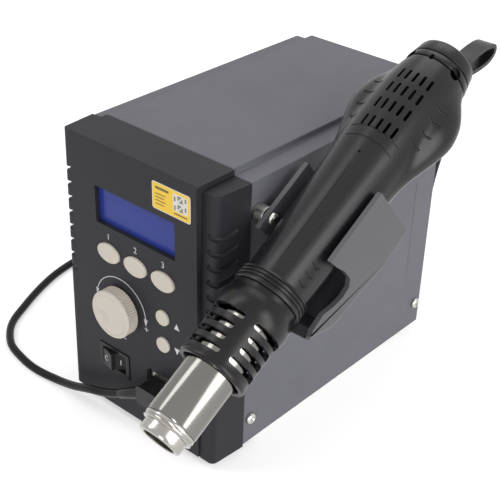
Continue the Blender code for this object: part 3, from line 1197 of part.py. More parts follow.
def make_blower():
    flange = read_table(RIDGE_TABLE, MOTOR_END) - SHELL_WALL - GAP
    near = MOTOR_END - MOTOR_FLANGE_THICKNESS
    profile = [(0.0, MOTOR_END), (flange, MOTOR_END), (flange, near), (MOTOR_RADIUS, near),
               (MOTOR_RADIUS, MOTOR_START), (MOTOR_SHAFT_RADIUS, MOTOR_START),
               (MOTOR_SHAFT_RADIUS, IMPELLER_START + 1.0 * MM), (0.0, IMPELLER_START + 1.0 * MM)]
    turned("fan_motor", profile, 16, "zinc", HANDSET_FRAME)
    star = []
    for k in range(IMPELLER_BLADES):
        base = math.tau * k / IMPELLER_BLADES
        edges = []
        for share in (0.0, 0.5, 1.0):
            radius = IMPELLER_HUB_RADIUS + (IMPELLER_RADIUS - IMPELLER_HUB_RADIUS) * share
            edges.append((radius, base + BLADE_SWEEP * share ** 1.5, BLADE_THICKNESS / 2 / radius))
        points = [(r, turn - half) for r, turn, half in edges]
        points += [(r, turn + half) for r, turn, half in edges[::-1]]
        star += [(r * math.cos(turn), r * math.sin(turn)) for r, turn in points]
    plate = IMPELLER_START + IMPELLER_LENGTH - 1.2 * MM
    impeller = prism("fan_impeller", [star], "XY", IMPELLER_START, plate + OVERLAP, "soft_black",
                     HANDSET_FRAME)
    join(impeller, rod("impeller_plate", IMPELLER_RADIUS, plate, plate + 1.2 * MM, 18, None, HANDSET_FRAME))
    cut(impeller, rod("impeller_bore", MOTOR_SHAFT_RADIUS + GAP, IMPELLER_START - CUT_PAST,
                      MOTOR_START, 12, None, HANDSET_FRAME))


def bent_rings(outline, bottom, half_width, bend, middle):
    """Rings across X of a side outline whose bottom points rise in a bend towards both sides."""
    rings = []
    for side in (-1, 1):
        row = []
        for k in range(CRADLE_BEND_STEPS + 1):
            angle = math.pi / 2 * k / CRADLE_BEND_STEPS
            x = middle + side * (half_width - bend * (1 - math.cos(angle)))
            rise = bend * (1 - math.sin(angle))
            row.append([(x, below - (rise if i in bottom else 0.0), along)
                        for i, (along, below) in enumerate(outline)])
        rings.append(row)
    return rings[0] + rings[1][::-1]


def make_cradle():
    middle = CRADLE_X - OUTLET.x
    outline = [(along * MM, below * MM) for along, below in CRADLE_OUTLINE]
    cradle = loft("cradle", bent_rings(outline, CRADLE_BOTTOM_POINTS, CRADLE_HALF_WIDTH, CRADLE_BEND, middle),
                  "cradle_grey", AXIS_FRAME)
    floor = [(along, below - CRADLE_WALL) for along, below in outline[1:5]]
    seat = RIBBED_RADIUS + GAP
    tip = outline[5][0]
    past = 15.0 * MM
    high = -60.0 * MM
    channel = [(floor[0][0] + past, high), (floor[0][0] + past, floor[0][1]), *floor,
               (tip + LIP_LENGTH, seat), (tip - past, seat), (tip - past, high)]
    bottom = tuple(range(1, len(channel) - 1))
    cut(cradle, loft("channel", bent_rings(channel, bottom, CRADLE_HALF_WIDTH - CRADLE_WALL,
                                           CRADLE_BEND - CRADLE_WALL, middle), None, AXIS_FRAME))
    saddle_end = SADDLE_STATION + SADDLE_THICKNESS
    saddle = box_between("saddle", (middle - SADDLE_HALF_WIDTH, SADDLE_TOP, SADDLE_STATION),
                         (middle + SADDLE_HALF_WIDTH, floor[0][1] + 1.6 * MM, saddle_end), None, AXIS_FRAME)
    grip = housing_radius(saddle_end, math.pi / 2) + GAP
    cut(saddle, rod("saddle_hollow", grip, SADDLE_STATION - CUT_PAST, saddle_end + CUT_PAST, 32, None,
                    AXIS_FRAME))
    join(cradle, saddle)
    wall_x = CRADLE_X - CRADLE_HALF_WIDTH
    holes = [rod("wall_hole", SCREW_SHANK_RADIUS + GAP, -CUT_PAST, CUT_PAST * 2, 12, None, None,
                 (wall_x, *spacer_place(point)), SIDE_FACING_RIGHT) for point in SPACER_POINTS]
    cut(cradle, merged("wall_holes", holes))
    spacer = wall_x - CASE_HALF_WIDTH
    profile = [(SPACER_RADIUS, spacer - GAP), (SPACER_RADIUS, GAP), (SCREW_SHANK_RADIUS + GAP, GAP),
               (SCREW_SHANK_RADIUS + GAP, spacer - GAP)]
    for i, point in enumerate(SPACER_POINTS):
        y, z = spacer_place(point)
        turned(f"cradle_spacer_{i + 1}", profile, 20, "zinc", None, (CASE_HALF_WIDTH, y, z),
               SIDE_FACING_RIGHT, True)
        shank = CRADLE_WALL + spacer + SCREW_SHANK_LENGTH * 0.8
        turned(f"cradle_screw_{i + 1}", screw_profile(shank), 14, "zinc", None,
               (wall_x + CRADLE_WALL, y, z), SIDE_FACING_RIGHT)


def make_cords():
    route = [Vector(point) * MM for point in smooth_through(LEAD_ROUTE, 8)[8:]]
    tube("cord_lead", evenly_spaced(route, CORD_STEP), CORD_DIAMETER, "soft_black")
    tip = GLAND_INNER + GLAND_LENGTH + GAP
    start = from_axis(*(GLAND_DIRECTION * tip + Vector((0, 0, GLAND_AXIS_START))))
    points = [start / MM, *RISE_ROUTE]
    route = [Vector(point) * MM for point in smooth_through(points, 8)]
    tube("cord_rise", evenly_spaced(route, CORD_STEP), CORD_DIAMETER, "soft_black")
    low = -GAP - FOOT_HEIGHT + 0.2 * MM
    high = low + COIL_SECTION
    outer = COIL_MID_RADIUS + COIL_SECTION / 2
    inner = COIL_MID_RADIUS - COIL_SECTION / 2
    edge = 1.5 * MM
    profile = [(outer - edge, high), (outer, high - edge), (outer, low + edge), (outer - edge, low),
               (inner + edge, low), (inner, low + edge), (inner, high - edge), (inner + edge, high)]
    turned("cord_coil", profile, 20, "soft_black", None, COIL_CENTRE, (0, 0, 0), True)


def centre_on_table():
    """Move the whole station so that the origin is under its middle, at the height of its feet."""
    root = make_empty("station_frame", (0, 0, 0), (0, 0, 0))
    for thing in list(PART.objects) + list(CUTTERS.objects):
        if thing.parent is None and thing is not root:
            thing.parent = root
    bpy.context.view_layer.update()
    graph = bpy.context.evaluated_depsgraph_get()
    corners = []
    for thing in PART.objects:
        if thing.type == "MESH" and thing.name not in CORD_NODES:
            solid = thing.evaluated_get(graph)
            corners += [solid.matrix_world @ vertex.co for vertex in solid.data.vertices]
    low = Vector([min(corner[i] for corner in corners) for i in range(3)])
    high = Vector([max(corner[i] for corner in corners) for i in range(3)])
    root.location = (-(low.x + high.x) / 2, -(low.y + high.y) / 2, -low.z)
    bpy.context.view_layer.update()
    return root.location


for make in (make_cover, make_base_pan, make_bezel, make_rear_panel, make_inlet, make_feet, make_cover_screws,
             make_driver_board, make_transformer, make_front_panel, make_screen, make_buttons, make_knob,
             make_control_board, make_rocker, make_socket, make_plug_relief, make_housing, make_end_cap,
             make_hang_loop, make_hot_end, make_heat_guard, make_ribbed_collar, make_blower, make_cradle,
             make_cords):
    make()
ORIGIN_SHIFT = centre_on_table()
print("station frame moved by", [round(value / MM, 3) for value in ORIGIN_SHIFT])
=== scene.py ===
"""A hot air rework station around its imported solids: an upright case, and a handset in a side cradle."""

import math

import bmesh
import bpy
from mathutils import Matrix, Vector


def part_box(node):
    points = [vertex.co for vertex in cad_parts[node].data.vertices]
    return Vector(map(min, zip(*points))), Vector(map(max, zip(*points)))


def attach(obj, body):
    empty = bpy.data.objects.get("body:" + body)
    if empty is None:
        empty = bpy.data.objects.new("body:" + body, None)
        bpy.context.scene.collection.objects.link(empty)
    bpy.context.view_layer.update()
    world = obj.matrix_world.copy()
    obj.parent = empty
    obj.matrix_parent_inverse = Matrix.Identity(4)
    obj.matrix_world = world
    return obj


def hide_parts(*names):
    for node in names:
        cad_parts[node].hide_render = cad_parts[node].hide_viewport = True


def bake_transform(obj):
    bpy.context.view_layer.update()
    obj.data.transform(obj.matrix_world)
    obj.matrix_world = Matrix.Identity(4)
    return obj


MM = 0.001

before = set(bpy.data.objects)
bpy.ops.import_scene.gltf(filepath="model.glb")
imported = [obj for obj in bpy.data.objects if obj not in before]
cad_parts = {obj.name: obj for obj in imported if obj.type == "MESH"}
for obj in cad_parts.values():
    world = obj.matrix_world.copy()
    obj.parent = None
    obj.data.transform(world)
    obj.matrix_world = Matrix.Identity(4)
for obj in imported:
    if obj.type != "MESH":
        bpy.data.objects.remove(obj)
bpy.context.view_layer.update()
scene = bpy.context.scene

# Frames of the station: the case, its leaning front panel, the handset's axis and the rolled handset
CASE_REAR = 88.5
PANEL_FOOT = (0, -89.3, 0)
PANEL_LEAN = math.atan2(3.2, 153.0)
AXIS_RISE = math.radians(30.53)
HANDSET_ROLL = math.radians(11.5)
OUTLET = Vector((79.45, -150.79, 74.51))
cover_low, cover_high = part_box("top_cover")
case_at = Vector(((cover_low.x + cover_high.x) / 2, cover_high.y - CASE_REAR * MM,
                  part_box("front_bezel")[0].z))
CASE = Matrix.Translation(case_at) @ Matrix.Scale(MM, 4)
PANEL = CASE @ Matrix.Translation(PANEL_FOOT) @ Matrix.Rotation(PANEL_LEAN, 4, "X")
AXIS = CASE @ Matrix.Translation(OUTLET) @ Matrix.Rotation(AXIS_RISE - math.pi / 2, 4, "X")
HAND = AXIS @ Matrix.Rotation(HANDSET_ROLL, 4, "Z")
FACING = {"right": Matrix.Rotation(math.pi / 2, 4, "Y"), "left": Matrix.Rotation(-math.pi / 2, 4, "Y"),
          "front": Matrix.Rotation(math.pi / 2, 4, "X"), "rear": Matrix.Rotation(-math.pi / 2, 4, "X")}


# Camera of the photograph, its place in the case's frame
FOCAL_LENGTH = 82.76
EYE = Vector((341.003, -408.144, 384.427))
VIEW_RIGHT = (0.74965, 0.66110, 0.03114)
VIEW_UP = (-0.36092, 0.36892, 0.85653)
VIEW_BACK = (0.55476, -0.65334, 0.51516)


def make_camera():
    data = bpy.data.cameras.new("camera")
    data.lens = FOCAL_LENGTH
    data.sensor_width = 36.0
    data.clip_start = 0.01
    data.clip_end = 20.0
    camera = bpy.data.objects.new("camera", data)
    scene.collection.objects.link(camera)
    turn = Matrix((VIEW_RIGHT, VIEW_UP, VIEW_BACK)).transposed().to_4x4()
    camera.matrix_world = Matrix.Translation(CASE @ EYE) @ turn
    scene.camera = camera


make_camera()


# Materials
def linear(colour):
    """Linear values of a colour given as it shows on screen, 0 to 255."""
    made = []
    for value in colour:
        share = value / 255
        made.append(share / 12.92 if share <= 0.04045 else ((share + 0.055) / 1.055) ** 2.4)
    return made


def noise_at(nodes, links, scale, detail, stretch=None):
    """A noise whose scale is counted per metre of the object."""
    place = nodes.new("ShaderNodeTexCoord")
    spread = nodes.new("ShaderNodeMapping")
    spread.inputs["Scale"].default_value = stretch or (1, 1, 1)
    noise = nodes.new("ShaderNodeTexNoise")
    noise.inputs["Scale"].default_value = scale
    noise.inputs["Detail"].default_value = detail
    links.new(place.outputs["Object"], spread.inputs["Vector"])
    links.new(spread.outputs["Vector"], noise.inputs["Vector"])
    return noise


def finish_of(name, colour, rough, metal=0.0, vary=0.10, patch=45.0, grain=900.0, height=0.00003,
              rough_vary=0.10, specular=0.5, stretch=None):
    """A procedural material: blotchy colour, uneven roughness and a fine grain in relief."""
    material = bpy.data.materials.new(name)
    material.use_nodes = True
    nodes, links = material.node_tree.nodes, material.node_tree.links
    shader = nodes["Principled BSDF"]
    shader.inputs["Metallic"].default_value = metal
    shader.inputs["Specular IOR Level"].default_value = specular
    base = linear(colour)
    blotch = noise_at(nodes, links, patch, 4.0, stretch)
    ramp = nodes.new("ShaderNodeValToRGB")
    ramp.color_ramp.elements[0].position = 0.30
    ramp.color_ramp.elements[0].color = [value * (1 - vary) for value in base] + [1]
    ramp.color_ramp.elements[1].position = 0.70
    ramp.color_ramp.elements[1].color = [min(1, value * (1 + vary)) for value in base] + [1]
    links.new(blotch.outputs["Fac"], ramp.inputs["Fac"])
    links.new(ramp.outputs["Color"], shader.inputs["Base Color"])
    fine = noise_at(nodes, links, grain, 3.0, stretch)
    spread = nodes.new("ShaderNodeMapRange")
    spread.inputs["To Min"].default_value = max(0.03, rough - rough_vary)
    spread.inputs["To Max"].default_value = min(1.0, rough + rough_vary)
    links.new(fine.outputs["Fac"], spread.inputs["Value"])
    links.new(spread.outputs["Result"], shader.inputs["Roughness"])
    bump = nodes.new("ShaderNodeBump")
    bump.inputs["Strength"].default_value = 1.0
    bump.inputs["Distance"].default_value = height
    links.new(fine.outputs["Fac"], bump.inputs["Height"])
    links.new(bump.outputs["Normal"], shader.inputs["Normal"])
    return material


PAINTS = {
    "cover": finish_of("powder_coat", (102, 102, 109), 0.50, grain=1500.0, height=0.00004, vary=0.05,
                       specular=0.25),
    "bezel": finish_of("charcoal_plastic", (43, 43, 47), 0.46, grain=2200.0, height=0.00002, vary=0.05,
                       specular=0.15),
    "handset": finish_of("satin_black", (25, 25, 27), 0.29, grain=1600.0, height=0.000005, vary=0.12,
                         rough_vary=0.08, specular=0.32),
    "guard": finish_of("guard_black", (22, 22, 24), 0.30, grain=1300.0, height=0.00001, vary=0.12,
                       specular=0.26),
    "cradle": finish_of("cradle_grey", (74, 74, 78), 0.48, grain=1800.0, height=0.00003, vary=0.05),
    "cream": finish_of("button_cream", (207, 199, 187), 0.50, grain=1500.0, height=0.00001, vary=0.03),
    "tube": finish_of("polished_steel", (124, 122, 118), 0.13, 1.0, grain=420.0, height=0.000008, vary=0.06,
                      patch=60.0, rough_vary=0.06, stretch=(1.0, 0.25, 0.45)),
    "collar": finish_of("worn_steel", (168, 165, 160), 0.20, 1.0, grain=700.0, height=0.00001, vary=0.08,
                        patch=120.0),
    "zinc": finish_of("zinc_plate", (205, 203, 198), 0.30, 1.0, grain=900.0, height=0.00001, vary=0.06),
    "cord": finish_of("cord_jacket", (17, 17, 19), 0.27, grain=1400.0, height=0.000005, vary=0.10,
                      specular=0.15),
    "rubber": finish_of("soft_rubber", (24, 24, 25), 0.62, grain=1200.0, height=0.00003, vary=0.12),
    "switch": finish_of("switch_black", (22, 22, 24), 0.30, grain=1500.0, height=0.00001, vary=0.10,
                        specular=0.25),
    "screen": finish_of("screen_blue", (46, 60, 140), 0.24, grain=300.0, height=0.0, vary=0.06, patch=18.0,
                        specular=0.2),
    "mark": finish_of("printed_mark", (205, 205, 208), 0.55, grain=1500.0, height=0.0, vary=0.03),
    "label": finish_of("label_yellow", (238, 196, 48), 0.38, grain=900.0, height=0.0, vary=0.03),
    "label_white": finish_of("label_pale", (214, 214, 206), 0.42, grain=900.0, height=0.0, vary=0.03),
    "label_ink": finish_of("label_ink", (104, 92, 58), 0.50, grain=900.0, height=0.0, vary=0.05),
    "dark": finish_of("deep_shadow_black", (10, 10, 11), 0.60, grain=900.0, height=0.00001, vary=0.10),
    "ceramic": finish_of("fired_ceramic", (120, 104, 84), 0.80, grain=900.0, height=0.00005, vary=0.15),
    "gold": finish_of("heater_wire", (214, 160, 62), 0.30, 1.0, grain=900.0, height=0.00002, vary=0.10),
    "board": finish_of("board_green", (24, 92, 52), 0.40, grain=300.0, height=0.00001, vary=0.15),
    "copper": finish_of("winding_copper", (176, 96, 48), 0.40, 0.6, grain=500.0, height=0.00004, vary=0.12),
}


# Forms, built in millimetres in a local frame
def new_object(name, points, faces):
    form = bmesh.new()
    verts = [form.verts.new(point) for point in points]
    for face in faces:
        form.faces.new([verts[i] for i in face])
    bmesh.ops.recalc_face_normals(form, faces=form.faces)
    mesh = bpy.data.meshes.new(name)
    form.to_mesh(mesh)
    form.free()
    made = bpy.data.objects.new(name, mesh)
    scene.collection.objects.link(made)
    return made


def evaluated(thing):
    """The thing's mesh with its modifiers, in place of its own."""
    graph = bpy.context.evaluated_depsgraph_get()
    mesh = bpy.data.meshes.new_from_object(thing.evaluated_get(graph))
    if thing.type == "MESH":
        thing.modifiers.clear()
        thing.data = mesh
        return thing
    made = bpy.data.objects.new(thing.name + "_mesh", mesh)
    bpy.data.objects.remove(thing)
    scene.collection.objects.link(made)
    return made


def loft(name, rings, capped=True):
    count = len(rings[0])
    points = [point for ring in rings for point in ring]
    faces = []
    for k in range(len(rings) - 1):
        for i in range(count):
            j = (i + 1) % count
            faces.append((k * count + i, k * count + j, (k + 1) * count + j, (k + 1) * count + i))
    if capped:
        faces.append(tuple(reversed(range(count))))
        faces.append(tuple(range(len(points) - count, len(points))))
    return new_object(name, points, faces)


def turned(name, profile, steps, ring=False, high=1.0):
    """A profile of (radius, height) pairs turned about Z."""
    points, rows, faces = [], [], []
    for radius, height in profile:
        start = len(points)
        if radius < 1e-6:
            points.append((0.0, 0.0, height))
            rows.append([start] * steps)
            continue
        for k in range(steps):
            angle = math.tau * k / steps
            points.append((radius * math.cos(angle), high * radius * math.sin(angle), height))
        rows.append(list(range(start, start + steps)))
    pairs = list(zip(rows, rows[1:])) + ([(rows[-1], rows[0])] if ring else [])
    for near, far in pairs:
        for i in range(steps):
            j = (i + 1) % steps
            face = [near[i], near[j], far[j], far[i]]
            face = [v for k, v in enumerate(face) if v not in face[:k]]
            if len(face) > 2:
                faces.append(face)
    return new_object(name, points, faces)


TO_PLANE = {"XY": Matrix.Identity(4),
            "XZ": Matrix(((1, 0, 0, 0), (0, 0, 1, 0), (0, 1, 0, 0), (0, 0, 0, 1))),
            "YZ": Matrix(((0, 0, 1, 0), (1, 0, 0, 0), (0, 1, 0, 0), (0, 0, 0, 1))),
            "ZY": Matrix(((0, 0, 1, 0), (0, 1, 0, 0), (1, 0, 0, 0), (0, 0, 0, 1)))}


def prism(name, outlines, plane, start, end):
    """A flat outline, with any holes, pushed along its plane's normal from start to end."""
    curve = bpy.data.curves.new(name, "CURVE")
    curve.dimensions = "2D"
    curve.fill_mode = "BOTH"
    curve.extrude = abs(end - start) / 2
    for outline in outlines:
        spline = curve.splines.new("POLY")
        spline.points.add(len(outline) - 1)
        for point, (u, v) in zip(spline.points, outline):
            point.co = (u, v, 0.0, 1.0)
        spline.use_cyclic_u = True
    thing = bpy.data.objects.new(name, curve)
    scene.collection.objects.link(thing)
    thing = evaluated(thing)
    thing.name = name
    thing.data.transform(TO_PLANE[plane] @ Matrix.Translation((0, 0, (start + end) / 2)))
    form = bmesh.new()
    form.from_mesh(thing.data)
    bmesh.ops.remove_doubles(form, verts=form.verts, dist=0.0005)
    bmesh.ops.recalc_face_normals(form, faces=form.faces)
    form.to_mesh(thing.data)
    form.free()
    return thing


def corners(low, high):
    return [(low[0], low[1]), (high[0], low[1]), (high[0], high[1]), (low[0], high[1])]


def block(name, low, high):
    return prism(name, [corners(low, high)], "XY", low[2], high[2])


def placed(thing, matrix):
    thing.data.transform(matrix)
    return thing


def merged(things):
    """Several things as one mesh."""
    form = bmesh.new()
    for thing in things:
        form.from_mesh(thing.data)
    for thing in things[1:]:
        bpy.data.objects.remove(thing)
    form.to_mesh(things[0].data)
    form.free()
    return things[0]


def combined(target, others, way):
    """Cut the others out of the target, or join them to it."""
    other = merged(others)
    step = target.modifiers.new(way, "BOOLEAN")
    step.operation = way
    step.solver = "EXACT"
    step.use_self = len(others) > 1 and way == "DIFFERENCE"
    step.object = other
    evaluated(target)
    bpy.data.objects.remove(other)
    return target


def cut(target, *others):
    return combined(target, list(others), "DIFFERENCE")


def join(target, *others):
    return combined(target, list(others), "UNION")


def rounded_rectangle(centre, size, radius, steps=6):
    outline = []
    for k, (side, rise) in enumerate(((1, 1), (-1, 1), (-1, -1), (1, -1))):
        corner = (centre[0] + side * (size[0] / 2 - radius), centre[1] + rise * (size[1] / 2 - radius))
        for i in range(steps + 1):
            angle = math.pi / 2 * (k + i / steps)
            outline.append((corner[0] + radius * math.cos(angle), corner[1] + radius * math.sin(angle)))
    return outline


def curve_point(p0, p1, p2, p3, t):
    """A point at the share t of the smooth curve from p1 to p2."""
    return 0.5 * (2 * p1 + (p2 - p0) * t + (2 * p0 - 5 * p1 + 4 * p2 - p3) * t * t
                  + (3 * p1 - p0 - 3 * p2 + p3) * t * t * t)


def smooth_through(points, per_span):
    points = [Vector(point) for point in points]
    padded = [points[0] * 2 - points[1], *points, points[-1] * 2 - points[-2]]
    made = [curve_point(*padded[i - 1:i + 3], k / per_span)
            for i in range(1, len(padded) - 2) for k in range(per_span)]
    return made + [points[-1]]


def closed_smooth(points, per_span):
    count = len(points)
    made = []
    for i in range(count):
        around = [Vector(points[(i + k) % count]) for k in (-1, 0, 1, 2)]
        made += [tuple(curve_point(*around, k / per_span)) for k in range(per_span)]
    return made


def evenly_spaced(points, step):
    lengths = [0.0]
    for first, second in zip(points, points[1:]):
        lengths.append(lengths[-1] + (second - first).length)
    count = max(2, round(lengths[-1] / step))
    made, at = [], 0
    for k in range(count + 1):
        wanted = lengths[-1] * k / count
        while at < len(points) - 2 and lengths[at + 1] < wanted:
            at += 1
        share = (wanted - lengths[at]) / (lengths[at + 1] - lengths[at])
        made.append(points[at].lerp(points[at + 1], share))
    return made


def tube_along(name, points, radius, sides, ends=1.0):
    """A round rope along points; its section keeps its turn, and its ends are scaled by ends."""
    points = [Vector(point) for point in points]
    rings = []
    side = None
    for i, point in enumerate(points):
        along = (points[min(i + 1, len(points) - 1)] - points[max(i - 1, 0)]).normalized()
        if side is None:
            side = along.orthogonal().normalized()
        side = (side - along * side.dot(along)).normalized()
        over = along.cross(side)
        width = radius * (ends if i in (0, len(points) - 1) else 1.0)
        rings.append([point + side * width * math.cos(math.tau * k / sides)
                      + over * width * math.sin(math.tau * k / sides) for k in range(sides)])
    return loft(name, rings)


def piece(thing, place, body, paint, replaces=(), angle=38.0, bevel=0.0, steps=2, name=None):
    """Put a form in its place, smooth it, give it a material and let it ride on a body."""
    placed(thing, place)
    if name:
        thing.name = name
    thing.data.name = thing.name
    thing.data.shade_smooth()
    thing.data.set_sharp_from_angle(angle=math.radians(angle))
    if bevel:
        edge = thing.modifiers.new("edge", "BEVEL")
        edge.width = bevel * MM
        edge.segments = steps
        edge.limit_method = "ANGLE"
        edge.angle_limit = math.radians(angle)
        edge.use_clamp_overlap = True
        edge.harden_normals = True
    thing.data.materials.clear()
    thing.data.materials.append(PAINTS[paint])
    if body:
        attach(thing, body)
    if replaces:
        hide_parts(*replaces)
    return thing


def dress(node, paint, bevel):
    """Give a CAD node that stays its material and slightly rounded edges."""
    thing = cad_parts[node]
    for space in thing.material_slots:
        space.material = PAINTS[paint]
    weld = thing.modifiers.new("weld", "WELD")
    weld.merge_threshold = 0.000005
    if bevel:
        edge = thing.modifiers.new("edge", "BEVEL")
        edge.width = bevel * MM
        edge.segments = 2
        edge.limit_method = "ANGLE"
        edge.angle_limit = math.radians(35.0)


# Free cord: from the plug round the left side, into a coil behind the case, and up to the handset
CORD_RADIUS = 2.25
LEAD_START = Vector((10.2, -96.8, 28.6))
LEAD_ROUTE = [(-6.5, -97.0, 18.9), (-17.5, -97.2, 13.6), (-30.0, -97.4, 9.4), (-43.0, -96.6, 4.0),
              (-57.6, -95.6, -0.4), (-74.7, -96.6, -1.6), (-89.7, -95.0, -1.6), (-104.5, -90.4, -1.6),
              (-118.8, -78.3, -1.6), (-128.6, -60.4, -1.6), (-136.6, -42.4, -1.6), (-142.6, -24.0, -1.6),
              (-145.5, -4.0, -1.6), (-145.0, 20.0, -1.6), (-140.5, 46.0, -1.6), (-131.0, 74.0, -1.6),
              (-116.0, 100.0, -1.6), (-97.0, 124.0, -1.6), (-75.0, 142.0, -1.6), (-60.0, 149.2, -1.6),
              (-45.0, 152.2, -1.6)]
RISE_ROUTE = [(2.0, 139.0, 3.1), (12.0, 130.5, 3.6), (20.5, 122.5, 9.0), (27.5, 115.0, 23.0),
              (32.0, 111.0, 42.0), (35.8, 107.6, 63.0), (39.6, 104.6, 84.0), (44.6, 101.0, 103.5),
              (50.2, 96.0, 120.5), (54.8, 88.6, 134.6), (58.2, 79.0, 145.6), (61.6, 68.5, 153.6)]
COIL_CENTRE = Vector((-25.0, 125.0, 0.0))
COIL_TURNS = [(27.4, -1.6), (22.8, -1.6), (22.8, 3.1), (27.4, 3.1)]
GLAND_DIRECTION = Vector((-0.332, 0.818, 0.470)).normalized()
GLAND_START = 204.0
GLAND_INNER, GLAND_LENGTH = 14.2, 26.0


def axis_point(side, below, along):
    """A case-frame point given beside, below and along the handset's axis."""
    return OUTLET + Matrix.Rotation(AXIS_RISE - math.pi / 2, 3, "X") @ Vector((side, below, along))


def coil_points():
    """Turns that lie beside and on each other, with a short step over from each to the next."""
    made = []
    steps = 28
    lead_in = math.radians(90.0)
    step_over = 0.30
    for k, (radius, height) in enumerate(COIL_TURNS):
        following = COIL_TURNS[min(k + 1, len(COIL_TURNS) - 1)]
        turn = math.tau if k < len(COIL_TURNS) - 1 else math.radians(30.0)
        for i in range(int(steps * turn / math.tau) + (k == len(COIL_TURNS) - 1)):
            share = i / steps
            ease = max(0.0, (share - (1 - step_over)) / step_over) if k < len(COIL_TURNS) - 1 else 0.0
            ease = ease * ease * (3 - 2 * ease)
            here = radius + (following[0] - radius) * ease
            angle = lead_in - math.tau * share
            made.append(COIL_CENTRE + Vector((here * math.cos(angle), here * math.sin(angle),
                                              height + (following[1] - height) * ease)))
    return made


def make_cord():
    first = LEAD_START.lerp(Vector(LEAD_ROUTE[0]), 0.8)
    tip = axis_point(*(GLAND_DIRECTION * (GLAND_INNER + GLAND_LENGTH - 2.0) + Vector((0, 0, GLAND_START))))
    route = smooth_through([first, *LEAD_ROUTE, *coil_points(), *RISE_ROUTE, tip], 6)
    route = evenly_spaced(route, 2.6)
    cord = tube_along("handset_cord", route, CORD_RADIUS, 16)
    path = [list(CASE @ point) for point in route]
    length = sum((Vector(b) - Vector(a)).length for a, b in zip(path, path[1:]))
    piece(cord, CASE, None, "cord", ("cord_lead", "cord_coil", "cord_rise"), 60.0)
    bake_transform(cord)
    return cord, path, length


cord, cord_path, cord_length = make_cord()


# Case
CASE_HALF, SHOULDER, TOP, TOP_HALF = 51.0, 150.0, 153.0, 40.3
CASE_FRONT, BEZEL_REAR = -88.5, -67.8
PANEL_HALF = 41.5
GROOVE_TOP, GROOVE_PITCH = 129.0, 8.0
GROOVE_PATH = [(45.0, -88.9, 0.6), (46.6, -88.6, 0.0), (48.6, -87.9, -0.2), (50.3, -86.4, -0.2),
               (51.0, -84.2, -0.2), (51.2, -80.0, -0.1), (51.5, -77.0, 0.5), (52.0, -75.6, 1.5)]


def make_bezel():
    rear, front = CASE_HALF + 0.9, CASE_HALF - 0.4
    radius = 3.0
    right = [(rear, BEZEL_REAR)]
    for k in range(9):
        angle = math.pi / 2 * k / 8
        right.append((front - radius + radius * math.cos(angle),
                      CASE_FRONT + radius - radius * math.sin(angle)))
    bezel = prism("bezel_shell", [right + [(-x, y) for x, y in reversed(right)]], "XY", 0.0, SHOULDER)
    inner, floor, ceiling = 47.2, 2.5, 146.2
    cut(bezel, block("bezel_cavity", (-inner, -82.8, floor), (inner, -60.0, ceiling)))
    lip = [corners((-49.5, 0), (49.5, 148.5)), corners((-inner, floor), (inner, ceiling))]
    join(bezel, prism("bezel_lip", lip, "XZ", BEZEL_REAR - 0.5, -56.5))
    recess = PANEL_HALF + 0.3
    cut(bezel, block("bezel_recess", (-recess, CASE_FRONT - 3, -3), (recess, -85.3, TOP)))
    cut(bezel, block("bezel_window", (-37, CASE_FRONT, 12), (37, -79, 141)))
    grooves = []
    for side in (-1, 1):
        for k in range(8):
            line = [(side * x, y, GROOVE_TOP - GROOVE_PITCH * k + rise) for x, y, rise in GROOVE_PATH]
            grooves.append(tube_along("groove", smooth_through(line, 3), 1.6, 14, 0.6))
    cut(bezel, *grooves)
    piece(bezel, CASE, "station", "bezel", ("front_bezel",), 40.0, 0.35)


# Places of things on the front panel
CENTRE_X = 1.4
CHANNEL_PLACES = [(CENTRE_X + k * 18.4, 95.5) for k in (-1, 0, 1)]
STEP_PLACES = [(18.9, 74.5), (18.9, 58.7)]
KNOB = (-10.3, 65.9)
ROCKER = (-17.05, 30.9)
SOCKET = (19.3, 31.1)
SCREEN = (CENTRE_X, 120.0)


def ellipse(centre, half_width, half_height, steps=56):
    return [(centre[0] + half_width * math.cos(math.tau * k / steps),
             centre[1] + half_height * math.sin(math.tau * k / steps)) for k in range(steps)]


def plate(name, centre, size, radius, start, end, steps=6):
    """A rounded rectangle on the front panel, pushed from start to end, counted behind the panel's face."""
    return prism(name, [rounded_rectangle(centre, size, radius, steps)], "XZ", start, end)


def on_panel(centre):
    """The place of a form that stands out from a point on the panel's face."""
    return PANEL @ Matrix.Translation((centre[0], 0, centre[1])) @ FACING["front"]


def make_panel():
    wall = 2.5
    lean = math.tan(PANEL_LEAN)
    side = [(y - (z * lean if y < wall else 0), z) for y, z in
            [(0.0, 0.5), (0.0, 151.9), (1.1, TOP), (21.5, TOP), (21.5, 150.3), (3.7, 150.3), (3.7, 0.5)]]
    panel = prism("panel_face", [side], "YZ", -PANEL_HALF, PANEL_HALF)
    placed(panel, Matrix.Rotation(-PANEL_LEAN, 4, "X"))
    cut(panel, block("panel_pocket", (-PANEL_HALF + wall, wall, 5.0), (PANEL_HALF - wall, 20.0, 147.5)))
    holes = [("screen_opening", rounded_rectangle(SCREEN, (52.8, 19.8), 0.7))]
    holes += [("channel_hole", ellipse(centre, 7.8, 5.4)) for centre in CHANNEL_PLACES]
    holes += [("step_hole", ellipse(centre, 4.45, 4.45)) for centre in STEP_PLACES]
    holes += [("shaft_hole", ellipse(KNOB, 3.3, 3.3)),
              ("rocker_hole", rounded_rectangle(ROCKER, (19.6, 13.2), 0.6)),
              ("socket_opening", rounded_rectangle(SOCKET, (26.0, 15.8), 3.0))]
    cut(panel, *[prism(name, [outline], "XZ", -8, 20) for name, outline in holes])
    cut(panel, plate("rocker_seat", ROCKER, (22.2, 15.5), 0.9, -8, 1.2))
    piece(panel, PANEL, "station", "bezel", ("front_panel",), 40.0, 0.3)


MARK_HEIGHT = 0.08


